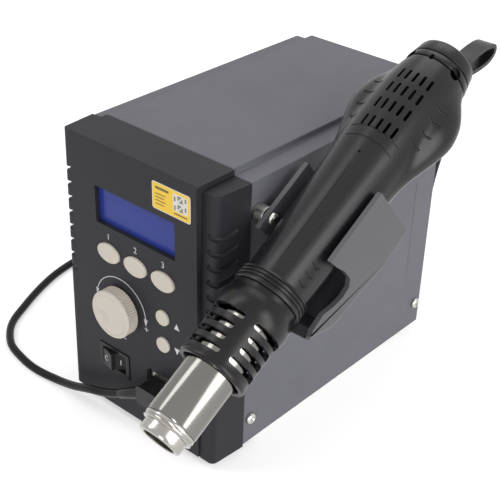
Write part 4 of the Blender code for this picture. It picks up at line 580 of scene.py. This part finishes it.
def raised(name, outlines, height=MARK_HEIGHT, paint="mark"):
    """A thin printed shape on the front panel."""
    piece(prism(name, outlines, "XZ", -height, 0.03), PANEL, "station", paint)


def words(name, text, size, centre):
    """Plain numbers printed on the front panel."""
    curve = bpy.data.curves.new(name, "FONT")
    curve.body = text
    curve.size = size
    curve.align_x = "CENTER"
    curve.align_y = "CENTER"
    curve.extrude = MARK_HEIGHT / 2
    thing = bpy.data.objects.new(name, curve)
    scene.collection.objects.link(thing)
    thing = evaluated(thing)
    thing.name = name
    stand = Matrix.Translation((centre[0], 0.02 - MARK_HEIGHT / 2, centre[1]))
    piece(thing, PANEL @ stand @ FACING["front"], "station", "mark")


def band(points, width):
    """The outline of a line of some width through 2D points."""
    left, right = [], []
    for i, point in enumerate(points):
        here = Vector(point)
        along = Vector(points[min(i + 1, len(points) - 1)]) - Vector(points[max(i - 1, 0)])
        over = Vector((-along.y, along.x)).normalized() * width / 2
        left.append(tuple(here + over))
        right.append(tuple(here - over))
    return left + right[::-1]


def on_circle(centre, radius, degrees):
    angle = math.radians(degrees)
    return (centre[0] + radius * math.cos(angle), centre[1] + radius * math.sin(angle))


def make_marks():
    for number, centre in zip("123", CHANNEL_PLACES):
        words(f"channel_number_{number}", number, 4.6, (centre[0], centre[1] + 8.9))
    arc = [on_circle(KNOB, 17.4, 168.0 - 168.0 * k / 48) for k in range(49)]
    raised("air_arc", [band(arc, 0.45)])
    for end, tips in (("low", ((16.4, 163), (18.5, 164), (17.4, 176))),
                      ("high", ((16.2, 6), (18.7, 5), (17.3, -8)))):
        raised(f"arc_{end}_end", [[on_circle(KNOB, *tip) for tip in tips]])
    x, z = 7.3, 61.9
    raised("plus_mark", [[(x - 1.3, z - 0.2), (x - 0.2, z - 0.2), (x - 0.2, z - 1.3), (x + 0.2, z - 1.3),
                          (x + 0.2, z - 0.2), (x + 1.3, z - 0.2), (x + 1.3, z + 0.2), (x + 0.2, z + 0.2),
                          (x + 0.2, z + 1.3), (x - 0.2, z + 1.3), (x - 0.2, z + 0.2), (x - 1.3, z + 0.2)]])
    x, z = -9.0, 48.7
    raised("minus_mark", [corners((x - 1.3, z - 0.22), (x + 1.3, z + 0.22))])
    x, z, half = 28.1, 73.5, 1.75
    raised("up_mark", [[(x - half, z - half), (x + half, z - half), (x, z + half)]])
    x, z = 28.0, 58.9
    raised("down_mark", [[(x - half, z + half), (x, z - half), (x + half, z + half)]])


def make_label():
    """A sticker with no words: a pale patch of blocks, and plain bars, on yellow."""
    middle, (width, height) = (26.2, 140.35), (23.8, 13.9)
    raised("label_base", [rounded_rectangle(middle, (width, height), 1.2)], 0.12, "label_white")
    raised("label_face", [rounded_rectangle(middle, (width - 0.8, height - 0.8), 0.9)], 0.15, "label")
    raised("label_patch", [rounded_rectangle((31.9, 141.3), (9.0, 8.6), 0.4)], 0.18, "label_white")
    squares = []
    for row in range(7):
        for column in range(7):
            if (row * 3 + column * 5 + row * column) % 4 in (0, 3):
                centre = (28.6 + column * 1.1, 138.0 + row * 1.1)
                squares.append(rounded_rectangle(centre, (0.95, 0.95), 0.1, 1))
    raised("label_blocks", squares, 0.2, "label_ink")
    bars = [rounded_rectangle((20.6, 144.6), (8.4, 1.3), 0.3, 2)]
    for k in range(4):
        shorter = k % 2
        bars.append(rounded_rectangle((19.6 - 0.5 * shorter, 141.6 - 1.7 * k), (6.4 - shorter, 0.5), 0.2, 2))
    bars.append(rounded_rectangle((32.0, 135.6), (8.0, 0.7), 0.2, 2))
    raised("label_bars", bars, 0.18, "label_ink")


def pillow(radius, proud, edge):
    """A button's profile: a slightly domed top, a round edge and a plain side."""
    profile = [(0.0, proud + 0.12), (radius * 0.55, proud + 0.06)]
    for k in range(6):
        angle = math.pi / 2 * k / 5
        profile.append((radius - edge + edge * math.sin(angle), proud - edge + edge * math.cos(angle)))
    return profile + [(radius, -2.8), (radius + 1.0, -2.8), (radius + 1.0, -3.7), (1.8, -3.7), (1.8, -5.5),
                      (0.0, -5.5)]


def make_buttons():
    for k, centre in enumerate(CHANNEL_PLACES, 1):
        cap = turned(f"channel_cap_{k}", pillow(7.5, 1.2, 0.7), 64, high=5.1 / 7.5)
        piece(cap, on_panel(centre), f"channel_{k}", "cream", (f"channel_button_{k}",), 50.0)
    for name, centre in zip(("up", "down"), STEP_PLACES):
        cap = turned(f"{name}_cap", pillow(4.15, 1.1, 0.6), 48)
        piece(cap, on_panel(centre), name, "cream", (f"{name}_button",), 50.0)


def make_knob():
    flutes = 56
    outline = []
    for k in range(flutes * 4):
        angle = math.tau * k / (flutes * 4)
        radius = 12.75 - 0.5 * (0.5 - 0.5 * math.cos(flutes * angle)) ** 0.7
        outline.append((radius * math.cos(angle), radius * math.sin(angle)))
    knob = prism("knob_grip", [outline], "XY", 0.7, 6.6)
    face = [(0.0, 8.0), (10.6, 8.0), (10.75, 7.82), (11.0, 7.82), (11.15, 8.0), (11.9, 7.95), (12.5, 7.7),
            (12.85, 7.2), (12.95, 6.7), (12.9, 6.3), (12.2, 6.2), (0.0, 6.2)]
    join(knob, turned("knob_face", face, 96))
    hollow_radius, hollow_depth = 4.4, 1.3
    ball = (hollow_radius ** 2 + hollow_depth ** 2) / (2 * hollow_depth)
    dish = [(ball * math.sin(math.pi * k / 96), -ball * math.cos(math.pi * k / 96)) for k in range(97)]
    dish[0] = (0.0, -ball)
    dish[-1] = (0.0, ball)
    hollow = turned("finger_hollow", dish, 72)
    placed(hollow, Matrix.Translation((*on_circle((0, 0), 6.2, 215.0), 8.0 + ball - hollow_depth)))
    cut(knob, hollow)
    cut(knob, turned("knob_bore", [(0, 6.0), (3.3, 6.0), (3.3, -2), (0, -2)], 32))
    piece(knob, on_panel(KNOB), "knob", "cream", ("control_knob",), 30.0)


# Outline of the rocker from its side: share of the reach, depth behind the panel's face
ROCKER_REACH = 7.44
ROCKER_SIDE = [(-0.92, -1.4), (-0.72, -1.5), (-0.45, -1.9), (-0.30, -2.35), (-0.22, -2.55), (-0.12, -2.85),
               (-0.04, -3.0), (0.06, -3.0), (0.12, -2.5), (0.20, -1.2), (0.35, -0.35), (0.5, 0.4),
               (0.75, 1.3), (1.0, 2.0), (0.96, 4.0), (0.5, 7.6), (-0.5, 7.6), (-0.96, 4.0)]


def make_rocker():
    housing = plate("rocker_frame", ROCKER, (21.6, 14.9), 0.8, -0.5, 0.9)
    join(housing, plate("rocker_body", ROCKER, (19.0, 12.6), 0.5, 0.4, 15.0, 2))
    cut(housing, plate("rocker_mouth", ROCKER, (16.6, 10.6), 0.5, -3, 13.6, 2))
    piece(housing, PANEL, "station", "switch", ("rocker_housing",), 40.0, 0.25)
    side = [(ROCKER[0] + ROCKER_REACH * share, depth) for share, depth in ROCKER_SIDE]
    rocker = prism("rocker_key", [side], "XY", ROCKER[1] - 5.0, ROCKER[1] + 5.0)
    piece(rocker, PANEL, "rocker", "switch", ("power_rocker",), 28.0, 0.25)
    ring = [ellipse((-21.3, ROCKER[1]), 1.25, 1.6, 28), ellipse((-21.3, ROCKER[1]), 0.9, 1.25, 28)]
    piece(prism("rocker_off_mark", ring, "XZ", -1.90, -1.60), PANEL, "rocker", "mark")
    dash = prism("rocker_on_mark", [corners((-13.2, 29.4), (-12.8, 32.4))], "XZ", 0.0, 0.9)
    piece(dash, PANEL, "rocker", "mark")


def make_socket():
    shell = plate("socket_shell", SOCKET, (19.0, 12.0), 1.0, 0.8, 16.0)
    join(shell, plate("socket_plate", SOCKET, (30.0, 17.8), 1.0, 2.8, 4.2))
    cut(shell, plate("socket_bore", SOCKET, (17.0, 10.0), 0.7, -2.2, 10.1))
    piece(shell, PANEL, "station", "zinc", ("handset_socket",), 40.0, 0.2)
    plug = plate("plug_nose", SOCKET, (16.4, 9.4), 0.7, -1.0, 9.8)
    join(plug, plate("plug_grip", SOCKET, (17.4, 11.0), 2.4, -12.0, -0.5))
    ring = [rounded_rectangle(SOCKET, (20.0, 20.0), 0.5, 1), rounded_rectangle(SOCKET, (16.8, 10.4), 2.1)]
    cut(plug, *[prism("plug_ridge", ring, "XZ", -10.2 + 2.3 * k, -9.3 + 2.3 * k) for k in range(4)])
    plug = piece(plug, PANEL, "station", "handset", ("cord_plug",), 40.0, 0.3,
                 name="cord_plug_body")
    along = Vector(LEAD_ROUTE[0]) - LEAD_START
    length = along.length + 2.7
    tip = CORD_RADIUS + 0.3
    profile = [(0.0, length), (tip - 0.15, length), (tip + 0.05, length - 0.6), (tip + 0.4, length * 0.6),
               (tip + 0.7, length * 0.3), (tip + 0.9, 0.6), (tip + 0.9, 0.0), (0.0, 0.0)]
    relief = turned("cord_relief", profile, 32)
    turn = along.to_track_quat("Z", "Y").to_matrix().to_4x4()
    placed(relief, Matrix.Translation(LEAD_START - along.normalized() * 3.0) @ turn)
    cut(relief, block("relief_trim", (SOCKET[0] - 9.0, -130, 0), (SOCKET[0] + 20, -70, 60)))
    relief = piece(relief, CASE, "station", "cord", ("plug_relief",), 35.0)
    return plug, relief


def pan_screw(name, radius, height, shank):
    """A pan head screw with a cross recess, its head's underside at zero."""
    profile = [(0.0, height)]
    for k in range(7):
        angle = math.pi / 2 * k / 6
        profile.append((radius * (0.55 + 0.45 * math.sin(angle)), 0.3 + (height - 0.3) * math.cos(angle)))
    profile += [(radius * 0.98, 0.0), (1.5, 0.0), (1.5, -shank), (0.0, -shank)]
    screw = turned(name, profile, 32)
    for wide, tall in ((1.7, 0.42), (0.42, 1.7)):
        rings = [[(x * wide * s, y * tall * (0.55 + 0.45 * s), z) for x, y in corners((-1, -1), (1, 1))]
                 for s, z in ((0.35, height - 1.3), (1.0, height + 0.6))]
        cut(screw, loft("cross", rings))
    return screw


def make_screws():
    spots = [(side, y) for side in ("right", "left") for y in (-62.3, 82.9)]
    for k, (side, y) in enumerate(spots, 1):
        x = CASE_HALF if side == "right" else -CASE_HALF
        turn = Matrix.Rotation(math.radians(20 + 35 * k), 4, "Z")
        place = CASE @ Matrix.Translation((x, y, 15.0)) @ FACING[side]
        place = place @ turn @ Matrix.Translation((0, 0, 0.3))
        screw = pan_screw(f"case_screw_{k}", 3.0, 1.9, 5.0)
        piece(screw, place, "station", "zinc", (f"cover_screw_{k}",), 35.0)
    seam = prism("side_seam", [rounded_rectangle((70.9, 69.0), (0.5, 58.0), 0.2, 3)], "YZ", CASE_HALF - 0.1,
                 CASE_HALF + 0.12)
    piece(seam, CASE, "station", "cover")


# Cradle
CRADLE_X, CRADLE_HALF, CRADLE_WALL, CRADLE_BEND = 79.0, 21.5, 2.4, 6.0
CRADLE_OUTLINE = [(136.2, -9.9), (142.1, 31.4), (123.3, 33.2), (103.6, 30.1), (84.3, 27.8), (70.8, 18.2),
                  (70.9, 13.6), (73.9, 11.7), (82.1, 10.9), (89.0, 14.0), (94.9, 15.4), (100.2, 14.6),
                  (102.6, 11.0), (101.6, 4.0), (98.6, -4.0), (97.4, -9.2), (100.9, -9.6)]


def bent_rings(outline, bottom, half_width, bend, middle):
    rings = []
    steps = 8
    for side in (-1, 1):
        row = []
        for k in range(steps + 1):
            angle = math.pi / 2 * k / steps
            x = middle + side * (half_width - bend * (1 - math.cos(angle)))
            rise = bend * (1 - math.sin(angle))
            row.append([(x, below - (rise if i in bottom else 0.0), along)
                        for i, (along, below) in enumerate(outline)])
        rings.append(row)
    return rings[0] + rings[1][::-1]


def make_cradle():
    middle = CRADLE_X - OUTLET.x
    outline = CRADLE_OUTLINE
    cradle = loft("cradle_channel", bent_rings(outline, range(1, 6), CRADLE_HALF, CRADLE_BEND, middle))
    floor = [(along, below - CRADLE_WALL) for along, below in outline[1:5]]
    seat, tip = 17.3, outline[5][0]
    channel = [(floor[0][0] + 15, -60.0), (floor[0][0] + 15, floor[0][1]), *floor, (tip + 5.2, seat),
               (tip - 15, seat), (tip - 15, -60.0)]
    rings = bent_rings(channel, range(1, len(channel) - 1), CRADLE_HALF - CRADLE_WALL,
                       CRADLE_BEND - CRADLE_WALL, middle)
    cut(cradle, loft("channel", rings))
    saddle = block("saddle", (middle - 17.5, 9.0, 133.5), (middle + 17.5, floor[0][1] + 1.6, 136.5))
    grip = housing_radius(136.5, math.pi / 2) + 0.3
    cut(saddle, turned("saddle_hollow", [(0, 139.5), (grip, 139.5), (grip, 130.5), (0, 130.5)], 96))
    join(cradle, saddle)
    piece(cradle, AXIS, "station", "cradle", ("cradle",), 30.0, 0.7, 3)


# Handset
HOUSING_WIDTHS = [(80.0, 15.5), (96.0, 15.8), (113.0, 16.4), (130.0, 17.2), (145.0, 18.3), (154.0, 20.1),
                  (162.5, 22.6), (171.5, 25.3), (180.0, 26.6), (188.8, 25.0), (195.0, 22.2), (202.0, 17.9),
                  (206.4, 15.9)]
RIDGE_HEIGHTS = [(80.0, 15.5), (96.0, 15.8), (113.0, 16.4), (130.0, 17.2), (145.0, 18.0), (154.0, 18.6),
                 (162.5, 19.0), (171.5, 19.2), (180.0, 19.2), (188.8, 18.8), (195.0, 18.2), (202.0, 17.0),
                 (206.4, 15.9)]
WIDTHS = smooth_through([(*pair, 0.0) for pair in HOUSING_WIDTHS], 6)
RIDGES = smooth_through([(*pair, 0.0) for pair in RIDGE_HEIGHTS], 6)
SHELL_START, SHELL_END, SHELL_WALL = 80.0, 206.4, 2.0
SPINE_ANGLE = 21.5


def read_table(table, along):
    for first, second in zip(table, table[1:]):
        if along <= second[0]:
            return first[1] + (second[1] - first[1]) * (along - first[0]) / (second[0] - first[0])
    return table[-1][1]


def housing_radius(along, angle):
    width = read_table(WIDTHS, along)
    ridge = read_table(RIDGES, along)
    flat = width * 0.5
    lobe = width * flat / math.hypot(flat * math.sin(angle), width * math.cos(angle))
    blend = 1.6
    near = max(blend - abs(lobe - ridge), 0.0) / blend
    return max(lobe, ridge) + near * near * blend / 4


def on_housing(degrees, along, lift=0.0):
    angle = math.radians(degrees)
    radius = housing_radius(along, angle) + lift
    return (radius * math.sin(angle), -radius * math.cos(angle) - 0.15, along)


def radial_slot(degrees, half_angle, along, half_length, radius, inner, outer):
    """A round-ended cutter that stands out from the axis."""
    half_arc = math.radians(half_angle) * radius
    corner = min(half_arc, half_length) * 0.96
    flat = rounded_rectangle((0.0, 0.0), (2 * half_arc, 2 * half_length), corner)
    outline = []
    for i, (u, v) in enumerate(flat):
        next_u, next_v = flat[(i + 1) % len(flat)]
        pieces = max(1, math.ceil(abs(next_u - u) / (radius * math.radians(5.0))))
        outline += [(u + (next_u - u) * k / pieces, v + (next_v - v) * k / pieces) for k in range(pieces)]
    rings = []
    for r in (inner, outer):
        turns = [(math.radians(degrees) + u / radius, v) for u, v in outline]
        rings.append([(r * math.sin(turn), -r * math.cos(turn), along + v) for turn, v in turns])
    return loft("slot", rings)


def shell(name, way):
    rings = []
    steps = 72
    stations = [SHELL_START + (SHELL_END - SHELL_START) * k / 60 for k in range(61)]
    for along in stations:
        outer, inner = [], []
        for k in range(steps + 1):
            angle = math.pi * (k / steps - 0.5)
            radius = housing_radius(along, angle)
            for line, r in ((outer, radius), (inner, radius - SHELL_WALL)):
                line.append((r * math.sin(angle), way * (r * math.cos(angle) + 0.15), along))
        rings.append(outer + inner[::-1])
    return loft(name, rings)


# Openings across the joint of shell and cap: angle, half width as an angle, half length
CAP_HOLES = [(-50.0, 10.5, 3.2), (-3.0, 3.4, 1.7), (46.0, 10.5, 3.2)]
CAP_JOINT = 207.0


def make_housing():
    upper = shell("handset_upper", -1)
    vents = [radial_slot(angle, math.degrees(0.72 / 19.2), along, 3.1, 19.2, 14.2, 23.0)
             for angle in (-24.0, -12.0, 0.0, 12.0, 24.0) for along in (163.0, 173.5, 183.3, 192.3)]
    lines = []
    for side in (-1, 1):
        hook = [on_housing(side * degrees, along)
                for degrees, along in ((14.0, 82.6), (16.4, 81.5), (18.9, 82.2))]
        path = [on_housing(side * 20.0, along) for along in range(84, 147, 6)]
        lines.append(tube_along("grip_line", smooth_through(hook + path, 3), 0.32, 10, 0.5))
    middle = [on_housing(0.0, along) for along in range(84, 142, 4)]
    lines.append(tube_along("grip_middle", middle, 0.22, 8, 0.5))
    for along, reach in ((153.0, 40.0), (158.5, 42.0)):
        arc = [on_housing(reach * (k / 16 - 1), along - 1.5 * (k / 16 - 1) ** 2 + 1.5) for k in range(33)]
        lines.append(tube_along("seam_arc", arc, 0.36, 10, 0.5))
    for side in (-1, 1):
        for along in (165.2, 172.5, 179.6, 186.6):
            slit = [on_housing(side * (50.0 + 2.2 * k), along + 0.06 * (k - 4) ** 2) for k in range(9)]
            lines.append(tube_along("lobe_slit", slit, 0.62, 10, 0.5))
        for along in (83.0, 88.0, 93.0):
            mark = [on_housing(side * (44.0 + 2.4 * k), along + 0.08 * (k - 4) ** 2) for k in range(9)]
            lines.append(tube_along("neck_slit", mark, 0.5, 10, 0.5))
    vents += [radial_slot(degrees, half_angle * 0.9, CAP_JOINT, half_length * 0.9, 16.0, 13.0, 20.0)
              for degrees, half_angle, half_length in CAP_HOLES]
    dot = placed(turned("grip_dot", [(0, 1), (0.6, 1), (0.6, -1), (0, -1)], 20),
                 Matrix.Translation(on_housing(0.0, 147.0)) @ Matrix.Rotation(math.pi / 2, 4, "X"))
    cut(upper, *vents, *lines, dot)
    piece(upper, HAND, "handset", "handset", ("upper_shell",), 42.0)
    piece(shell("handset_lower", 1), HAND, "handset", "handset", ("lower_shell",), 42.0)


def make_end_cap():
    profile = [(0.0, 220.0), (9.5, 219.85), (12.6, 219.3), (13.8, 218.4), (14.4, 217.2), (14.75, 215.0),
               (15.45, 211.8), (15.4, 211.5), (14.9, 211.3), (14.9, 210.8), (15.6, 210.6), (15.9, 209.6),
               (16.15, 208.6), (16.2, 207.8), (16.1, 207.15), (15.7, 207.0), (14.2, 207.0), (12.6, 216.2),
               (0.0, 218.0)]
    cap = turned("handset_cap", profile, 96)
    back = HAND.inverted() @ AXIS
    cut(cap, placed(block("loop_slot", (-4.8, 7.5, 214.0), (4.8, 12.9, 223.0)), back))
    for degrees, half_angle, half_length in CAP_HOLES:
        cut(cap, radial_slot(degrees, half_angle, CAP_JOINT, half_length, 16.0, 14.0, 20.0))
    turn = GLAND_DIRECTION.to_track_quat("Z", "Y").to_matrix().to_4x4()
    gland_place = Matrix.Translation((0, 0, GLAND_START)) @ turn
    hole = turned("gland_hole", [(0, 42.0), (3.7, 42.0), (3.7, 11.0), (0, 11.0)], 32)
    cut(cap, placed(hole, back @ gland_place))
    piece(cap, HAND, "handset", "handset", ("end_cap",), 35.0)
    start, end = GLAND_INNER, GLAND_INNER + GLAND_LENGTH
    profile = [(0.0, end), (2.7, end)]
    for k in range(6):
        at = end - 3.0 - 3.2 * k
        wide = 2.72 + 0.11 * k
        profile += [(wide, at + 1.1), (wide, at), (wide - 0.35, at - 0.2), (wide - 0.35, at - 1.0)]
    profile += [(3.4, start + 3.0), (3.4, start), (0.0, start)]
    gland = turned("handset_relief", profile, 32)
    piece(gland, AXIS @ gland_place, "handset", "rubber", ("handset_gland",), 35.0)


LOOP_OUTLINE = [(221.0, 7.4), (226.0, 8.6), (232.0, 9.6), (240.0, 12.2), (246.8, 15.6), (250.3, 19.4),
                (248.6, 23.2), (243.0, 24.1), (236.0, 22.0), (229.5, 18.9), (224.6, 16.2), (221.2, 13.4)]


def inset(points, distance):
    made = []
    count = len(points)
    area = sum(points[i][0] * points[(i + 1) % count][1] - points[(i + 1) % count][0] * points[i][1]
               for i in range(count))
    way = 1.0 if area > 0 else -1.0
    for i in range(count):
        before, here, after = (Vector(points[(i + k) % count]) for k in (-1, 0, 1))
        along = ((here - before).normalized() + (after - here).normalized()).normalized()
        made.append(tuple(here + way * Vector((-along.y, along.x)) * distance))
    return made


def make_loop():
    outer = closed_smooth(LOOP_OUTLINE, 5)
    loop = prism("handset_loop", [outer, inset(outer, 2.1)], "ZY", -4.5, 4.5)
    join(loop, block("loop_stem", (-4.5, 7.8, 215.5), (4.5, 12.6, 222.3)))
    piece(loop, AXIS, "handset", "handset", ("hang_loop",), 40.0, 0.95, 4)


def make_hot_end():
    tube = [(12.2, 84.0), (12.2, 6.0), (12.05, 5.6), (11.9, 5.3), (11.4, 5.3), (11.4, 84.0)]
    piece(turned("heater_tube", tube, 128, True), HAND, "handset", "tube",
          ("steel_tube",), 30.0)
    collar = [(11.1, 10.0), (11.1, 5.0), (11.9, 5.0), (12.12, 4.7), (12.12, 3.9), (11.9, 3.5), (11.6, 3.35),
              (11.6, 2.9), (11.95, 2.7), (12.05, 2.3), (11.6, 1.9), (10.4, 1.8), (10.35, -1.4), (10.3, -2.4),
              (10.0, -3.1), (9.3, -3.5), (8.2, -3.5), (7.8, -3.2), (7.8, -1.1), (9.8, 0.4), (9.8, 10.0)]
    piece(turned("nozzle_collar", collar, 96, True), HAND, "handset", "collar",
          ("outlet_collar",), 30.0)
    block_side = [(0, 66.0), (11.1, 66.0), (11.1, 10.3), (9.5, 10.3), (9.5, 4.6), (0, 4.6)]
    core = turned("heater_block", block_side, 64)
    holes = []
    for ring, count in ((3.0, 6), (6.4, 12)):
        for k in range(count):
            x, y = on_circle((0, 0), ring, 360.0 * k / count + 10)
            hole = turned("air_hole", [(0, 12), (0.95, 12), (0.95, 3), (0, 3)], 14)
            holes.append(placed(hole, Matrix.Translation((x, y, 0))))
    cut(core, *holes)
    piece(core, HAND, "handset", "ceramic", ("heater_core",), 35.0)
    wires = []
    for k in range(6):
        x, y = on_circle((0, 0), 4.7, 60.0 * k + 32)
        coil = [(x + 0.5 * math.cos(a * 0.7), y + 0.5 * math.sin(a * 0.7), 4.4 + 0.12 * a) for a in range(20)]
        wires.append(tube_along("wire", coil, 0.28, 8))
    wire = merged(wires)
    wire.name = "heater_wires"
    piece(wire, HAND @ Matrix.Translation((0, 0, -0.6)), "handset", "gold")


def make_guard():
    seat, body, bulge, neck = 12.5, 16.2, 17.5, 15.7
    end, start = 72.3, 32.4
    at = end - 9.8
    profile = [(neck, end), (neck + 0.05, at + 8.4), (neck + 0.1, at + 7.2), (neck + 0.35, at + 6.3),
               (bulge - 0.75, at + 4.6), (bulge - 0.25, at + 2.6), (bulge, at), (bulge - 0.2, at - 2.2),
               (bulge - 0.6, at - 4.2), (body + 0.15, at - 6.4), (body, at - 7.8), (body, start + 3.6),
               (body + 0.3, start + 2.4), (body + 0.45, start + 1.5), (body + 0.4, start + 0.6),
               (body + 0.1, start), (body - 1.8, start), (body - 2.0, start + 0.4), (body - 2.0, at - 7.5),
               (bulge - 2.0, at), (bulge - 2.9, at + 5.0), (seat, at + 7.4), (seat, end)]
    guard = turned("hot_guard", profile, 144, True)
    slots = []
    for column in range(4):
        middle = SPINE_ANGLE + 90.0 * (column + 0.5)
        for along, half in ((39.1, 36.0), (44.9, 31.0), (50.7, 31.0), (56.7, 36.0)):
            slots.append(radial_slot(middle, half, along, 1.55, body, 10.2, 22.2))
    cut(guard, *slots)
    piece(guard, HAND, "handset", "guard", ("heat_guard",), 40.0, 0.3)
    end, start = 79.7, 72.6
    pitch = (end - start) / 4
    profile = [(13.2, 90.0), (13.2, end), (16.5, end), (16.8, end - 0.3)]
    for k in range(3):
        middle = end - pitch * (k + 1)
        profile += [(17.0 - deep, middle + pitch * share) for share, deep in
                    ((0.42, 0.0), (0.30, 0.25), (0.18, 0.8), (-0.18, 0.8), (-0.30, 0.25), (-0.42, 0.0))]
    profile += [(16.9, start + 0.3), (16.6, start), (12.5, start), (12.5, 90.0)]
    piece(turned("ribbed_ring", profile, 128, True), HAND, "handset", "handset",
          ("ribbed_collar",), 35.0)


make_bezel()
make_panel()
make_marks()
make_label()
make_buttons()
make_knob()
make_rocker()
plug, relief = make_socket()
make_screws()
make_cradle()
make_housing()
make_end_cap()
make_loop()
make_hot_end()
make_guard()

for paint, bevel, nodes in (("cover", 0.5, "top_cover"), ("cover", 0.0, "rear_panel"),
                            ("zinc", 0.0, "base_pan lcd_module knob_encoder"), ("screen", 0.0, "lcd_window"),
                            ("board", 0.0, "control_board driver_board"), ("zinc", 0.3, "transformer_core"),
                            ("copper", 0.6, "transformer_winding"), ("switch", 0.25, "mains_inlet"),
                            ("rubber", 0.5, "foot_1 foot_2 foot_3 foot_4"), ("zinc", 0.2, "knob_shaft"),
                            ("zinc", 0.2, "cradle_spacer_1 cradle_spacer_2 cradle_screw_1 cradle_screw_2"),
                            ("dark", 0.3, "fan_motor"), ("switch", 0.0, "fan_impeller")):
    for node in nodes.split():
        dress(node, paint, bevel)


# Floor, light and background
FLOOR_HALF = 6.0
FLOOR_GLOW = 0.45
SOFT_LIGHT, WHITE = 0.40, 1.0
LAMPS_AIM = Vector((0, 0, 0.1))


def by_ray(nodes, links, lighting, background, output):
    """Light the object with one shader, and show another to the camera, in mirrors and through glass."""
    path = nodes.new("ShaderNodeLightPath")
    shown = path.outputs["Is Camera Ray"]
    for ray in ("Is Glossy Ray", "Is Transmission Ray"):
        most = nodes.new("ShaderNodeMath")
        most.operation = "MAXIMUM"
        links.new(shown, most.inputs[0])
        links.new(path.outputs[ray], most.inputs[1])
        shown = most.outputs["Value"]
    pick = nodes.new("ShaderNodeMixShader")
    links.new(shown, pick.inputs["Fac"])
    links.new(lighting, pick.inputs[1])
    links.new(background, pick.inputs[2])
    links.new(pick.outputs["Shader"], nodes[output].inputs["Surface"])


def make_floor():
    mesh = bpy.data.meshes.new("floor")
    outline = corners((-FLOOR_HALF, -FLOOR_HALF), (FLOOR_HALF, FLOOR_HALF))
    mesh.from_pydata([(x, y, 0) for x, y in outline], [], [(0, 1, 2, 3)])
    floor = bpy.data.objects.new("floor", mesh)
    scene.collection.objects.link(floor)
    material = bpy.data.materials.new("pale_floor")
    material.use_nodes = True
    nodes, links = material.node_tree.nodes, material.node_tree.links
    matt = nodes["Principled BSDF"]
    matt.inputs["Base Color"].default_value = (0.86, 0.86, 0.86, 1)
    matt.inputs["Roughness"].default_value = 0.8
    glow = nodes.new("ShaderNodeEmission")
    glow.inputs["Strength"].default_value = FLOOR_GLOW
    both = nodes.new("ShaderNodeAddShader")
    links.new(matt.outputs["BSDF"], both.inputs[0])
    links.new(glow.outputs["Emission"], both.inputs[1])
    by_ray(nodes, links, matt.outputs["BSDF"], both.outputs["Shader"], "Material Output")
    mesh.materials.append(material)


def make_world():
    world = bpy.data.worlds.new("studio")
    scene.world = world
    world.use_nodes = True
    nodes, links = world.node_tree.nodes, world.node_tree.links
    soft, white = nodes["Background"], nodes.new("ShaderNodeBackground")
    for sky, strength in ((soft, SOFT_LIGHT), (white, WHITE)):
        sky.inputs["Color"].default_value = (1, 1, 1, 1)
        sky.inputs["Strength"].default_value = strength
    by_ray(nodes, links, soft.outputs["Background"], white.outputs["Background"], "World Output")


def area_light(name, at, size, power):
    data = bpy.data.lights.new(name, "AREA")
    data.shape = "RECTANGLE"
    data.size, data.size_y = size
    data.energy = power
    light = bpy.data.objects.new(name, data)
    scene.collection.objects.link(light)
    turn = (Vector(at) - LAMPS_AIM).to_track_quat("Z", "Y")
    light.matrix_world = Matrix.Translation(at) @ turn.to_matrix().to_4x4()


make_floor()
make_world()
area_light("top_light", (-0.1, 0.55, 1.15), (0.9, 0.6), 3.0)
area_light("left_light", (-0.58, -0.46, 1.02), (0.34, 0.9), 3.2)
area_light("right_light", (1.1, -0.18, 0.46), (0.55, 1.0), 8.4)
area_light("front_light", (0.55, -1.1, 0.4), (0.2, 0.5), 4.0)

scene.view_settings.view_transform = "Standard"
